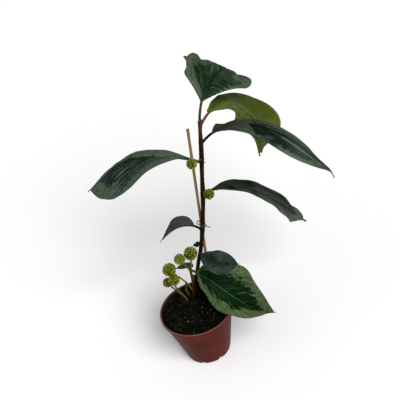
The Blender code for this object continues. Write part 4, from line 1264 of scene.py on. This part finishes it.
class PLANT_OT_heads(bpy.types.Operator):
    """Adds the round flower heads, each covered in small florets, on their stalks"""

    bl_idname = "plant.heads"
    bl_label = "Add the flower heads"

    def execute(self, context):
        sizes, colours = context.scene.plant_sizes, context.scene.plant_colours
        draw = np.random.default_rng(sizes.seed + 1)
        bud = add_shape(bpy.ops.mesh.primitive_cone_add, vertices=5, radius1=1.0, radius2=0.45, depth=1.0)
        in_edit_mode(bud, lambda: bpy.ops.mesh.subdivide(number_cuts=1, smoothness=0.6))
        floret = take_mesh(bud)
        dark, light = (tint(colours.floret, amount) for amount in FLORET_TINTS)
        surface = tinted_material("floret_skin", dark, light, 0.6, 500.0, 0.15 * MM)
        skin = stalk_material("head_stalk_skin", paint(98, 97, 42), paint(88, 92, 34))
        for name, (centre, radius, points) in HEADS.items():
            places = self.floret_places(Vector(centre), radius, sizes.florets, draw)
            head = scatter("fine_" + name, floret, places, draw.random(sizes.florets), surface)
            core = add_shape(bpy.ops.mesh.primitive_ico_sphere_add, subdivisions=3,
                             radius=radius * HEAD_CORE * MM, location=Vector(centre) * MM)
            bpy.ops.object.transform_apply(location=True, rotation=False, scale=False)
            core.data.attributes.new("tint", "FLOAT", "POINT")
            core.data.materials.append(surface)
            path = smooth_path([*points, centre], 10)
            stalk = add_tube(name + "_stalk", path, [HEAD_STALK_RADIUS] * len(path), 12, skin)
            seat(join(head, core, stalk), "flower_head", name)
        return {"FINISHED"}

    def floret_places(self, middle, radius, count, draw):
        """Spreads the florets evenly over a head, each leaning and growing a little in its own way."""
        golden = math.pi * (3 - math.sqrt(5))
        places = []
        for k in range(count):
            height = 1 - (k + 0.5) * 2 / count
            ring = math.sqrt(1 - height * height)
            way = Vector((ring * math.cos(golden * k), ring * math.sin(golden * k), height))
            way = (way + Vector(draw.normal(0, 0.05, 3))).normalized()
            wide = radius * 1.7 / math.sqrt(count) * (0.75 + 0.4 * draw.random()) * MM
            tall = radius * (0.26 + 0.14 * draw.random()) * MM
            place = middle * MM + way * (radius * (0.98 + 0.08 * draw.random()) * MM - tall * 0.5)
            places.append(placed(turned_to(way, draw.random() * 6), place, (wide, wide, tall)))
        return places


class PLANT_OT_stage(bpy.types.Operator):
    """Adds the pale floor, the soft studio lights and the camera"""

    bl_idname = "plant.stage"
    bl_label = "Add the stage"

    def execute(self, context):
        floor = add_shape(bpy.ops.mesh.primitive_plane_add, size=FLOOR_SIZE)
        floor.name = "floor"
        dress(floor, floor_material(context.scene.plant_colours.floor))
        world = bpy.data.worlds.new("studio")
        world.use_nodes = True
        surround = world.node_tree.nodes["Background"]
        surround.inputs["Color"].default_value = (1.0, 1.0, 1.0, 1.0)
        surround.inputs["Strength"].default_value = WORLD_STRENGTH
        context.scene.world = world
        context.scene.view_settings.view_transform = "Standard"
        aim = Vector(CAMERA_AIM) * MM
        for name, place, strength, spread in LAMPS:
            bpy.ops.object.light_add(type="SUN", location=aim + Vector(place))
            light = context.object
            light.name = name
            light.data.energy = strength
            light.data.angle = math.radians(spread)
            light.rotation_euler = (light.location - aim).to_track_quat("Z", "Y").to_euler()
        elevation, roll = math.radians(CAMERA_ELEVATION), math.radians(CAMERA_ROLL)
        back = Vector((0.0, -math.cos(elevation), math.sin(elevation)))
        level = Vector((1.0, 0.0, 0.0))
        upright = back.cross(level)
        right = math.cos(roll) * level + math.sin(roll) * upright
        up = math.cos(roll) * upright - math.sin(roll) * level
        bpy.ops.object.camera_add()
        camera = context.object
        camera.name = "camera"
        camera.data.sensor_width = 36.0
        camera.data.lens = CAMERA_LENS
        camera.data.clip_start = 0.01
        turn = Matrix((right, up, back)).transposed()
        camera.matrix_world = Matrix.Translation(aim + back * CAMERA_DISTANCE * MM) @ turn.to_4x4()
        context.scene.camera = camera
        return {"FINISHED"}


PIECES = (PLANT_OT_pot, PLANT_OT_soil, PLANT_OT_stems, PLANT_OT_stake, PLANT_OT_tie, PLANT_OT_leaves,
          PLANT_OT_heads, PLANT_OT_stage)


class PLANT_PT_sidebar(bpy.types.Panel):
    """Lists the plant's pieces, sizes and colours in the sidebar"""

    bl_idname = "PLANT_PT_sidebar"
    bl_label = "Potted plant"
    bl_space_type = "VIEW_3D"
    bl_region_type = "UI"
    bl_category = "Plant"

    def draw(self, context):
        for group in (context.scene.plant_sizes, context.scene.plant_colours):
            box = self.layout.box()
            for name in group.__annotations__:
                box.prop(group, name)
        for piece in PIECES:
            self.layout.operator(piece.bl_idname)


CLASSES = (PlantSizes, PlantColours, *PIECES, PLANT_PT_sidebar)


def register():
    for item in CLASSES:
        bpy.utils.register_class(item)
    bpy.types.Scene.plant_sizes = bpy.props.PointerProperty(type=PlantSizes)
    bpy.types.Scene.plant_colours = bpy.props.PointerProperty(type=PlantColours)


def unregister():
    del bpy.types.Scene.plant_colours
    del bpy.types.Scene.plant_sizes
    for item in reversed(CLASSES):
        bpy.utils.unregister_class(item)


def main():
    """Registers the add-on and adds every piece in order."""
    register()
    for piece in PIECES:
        group, name = piece.bl_idname.split(".")
        getattr(getattr(bpy.ops, group), name)()


if __name__ == "__main__":
    main()
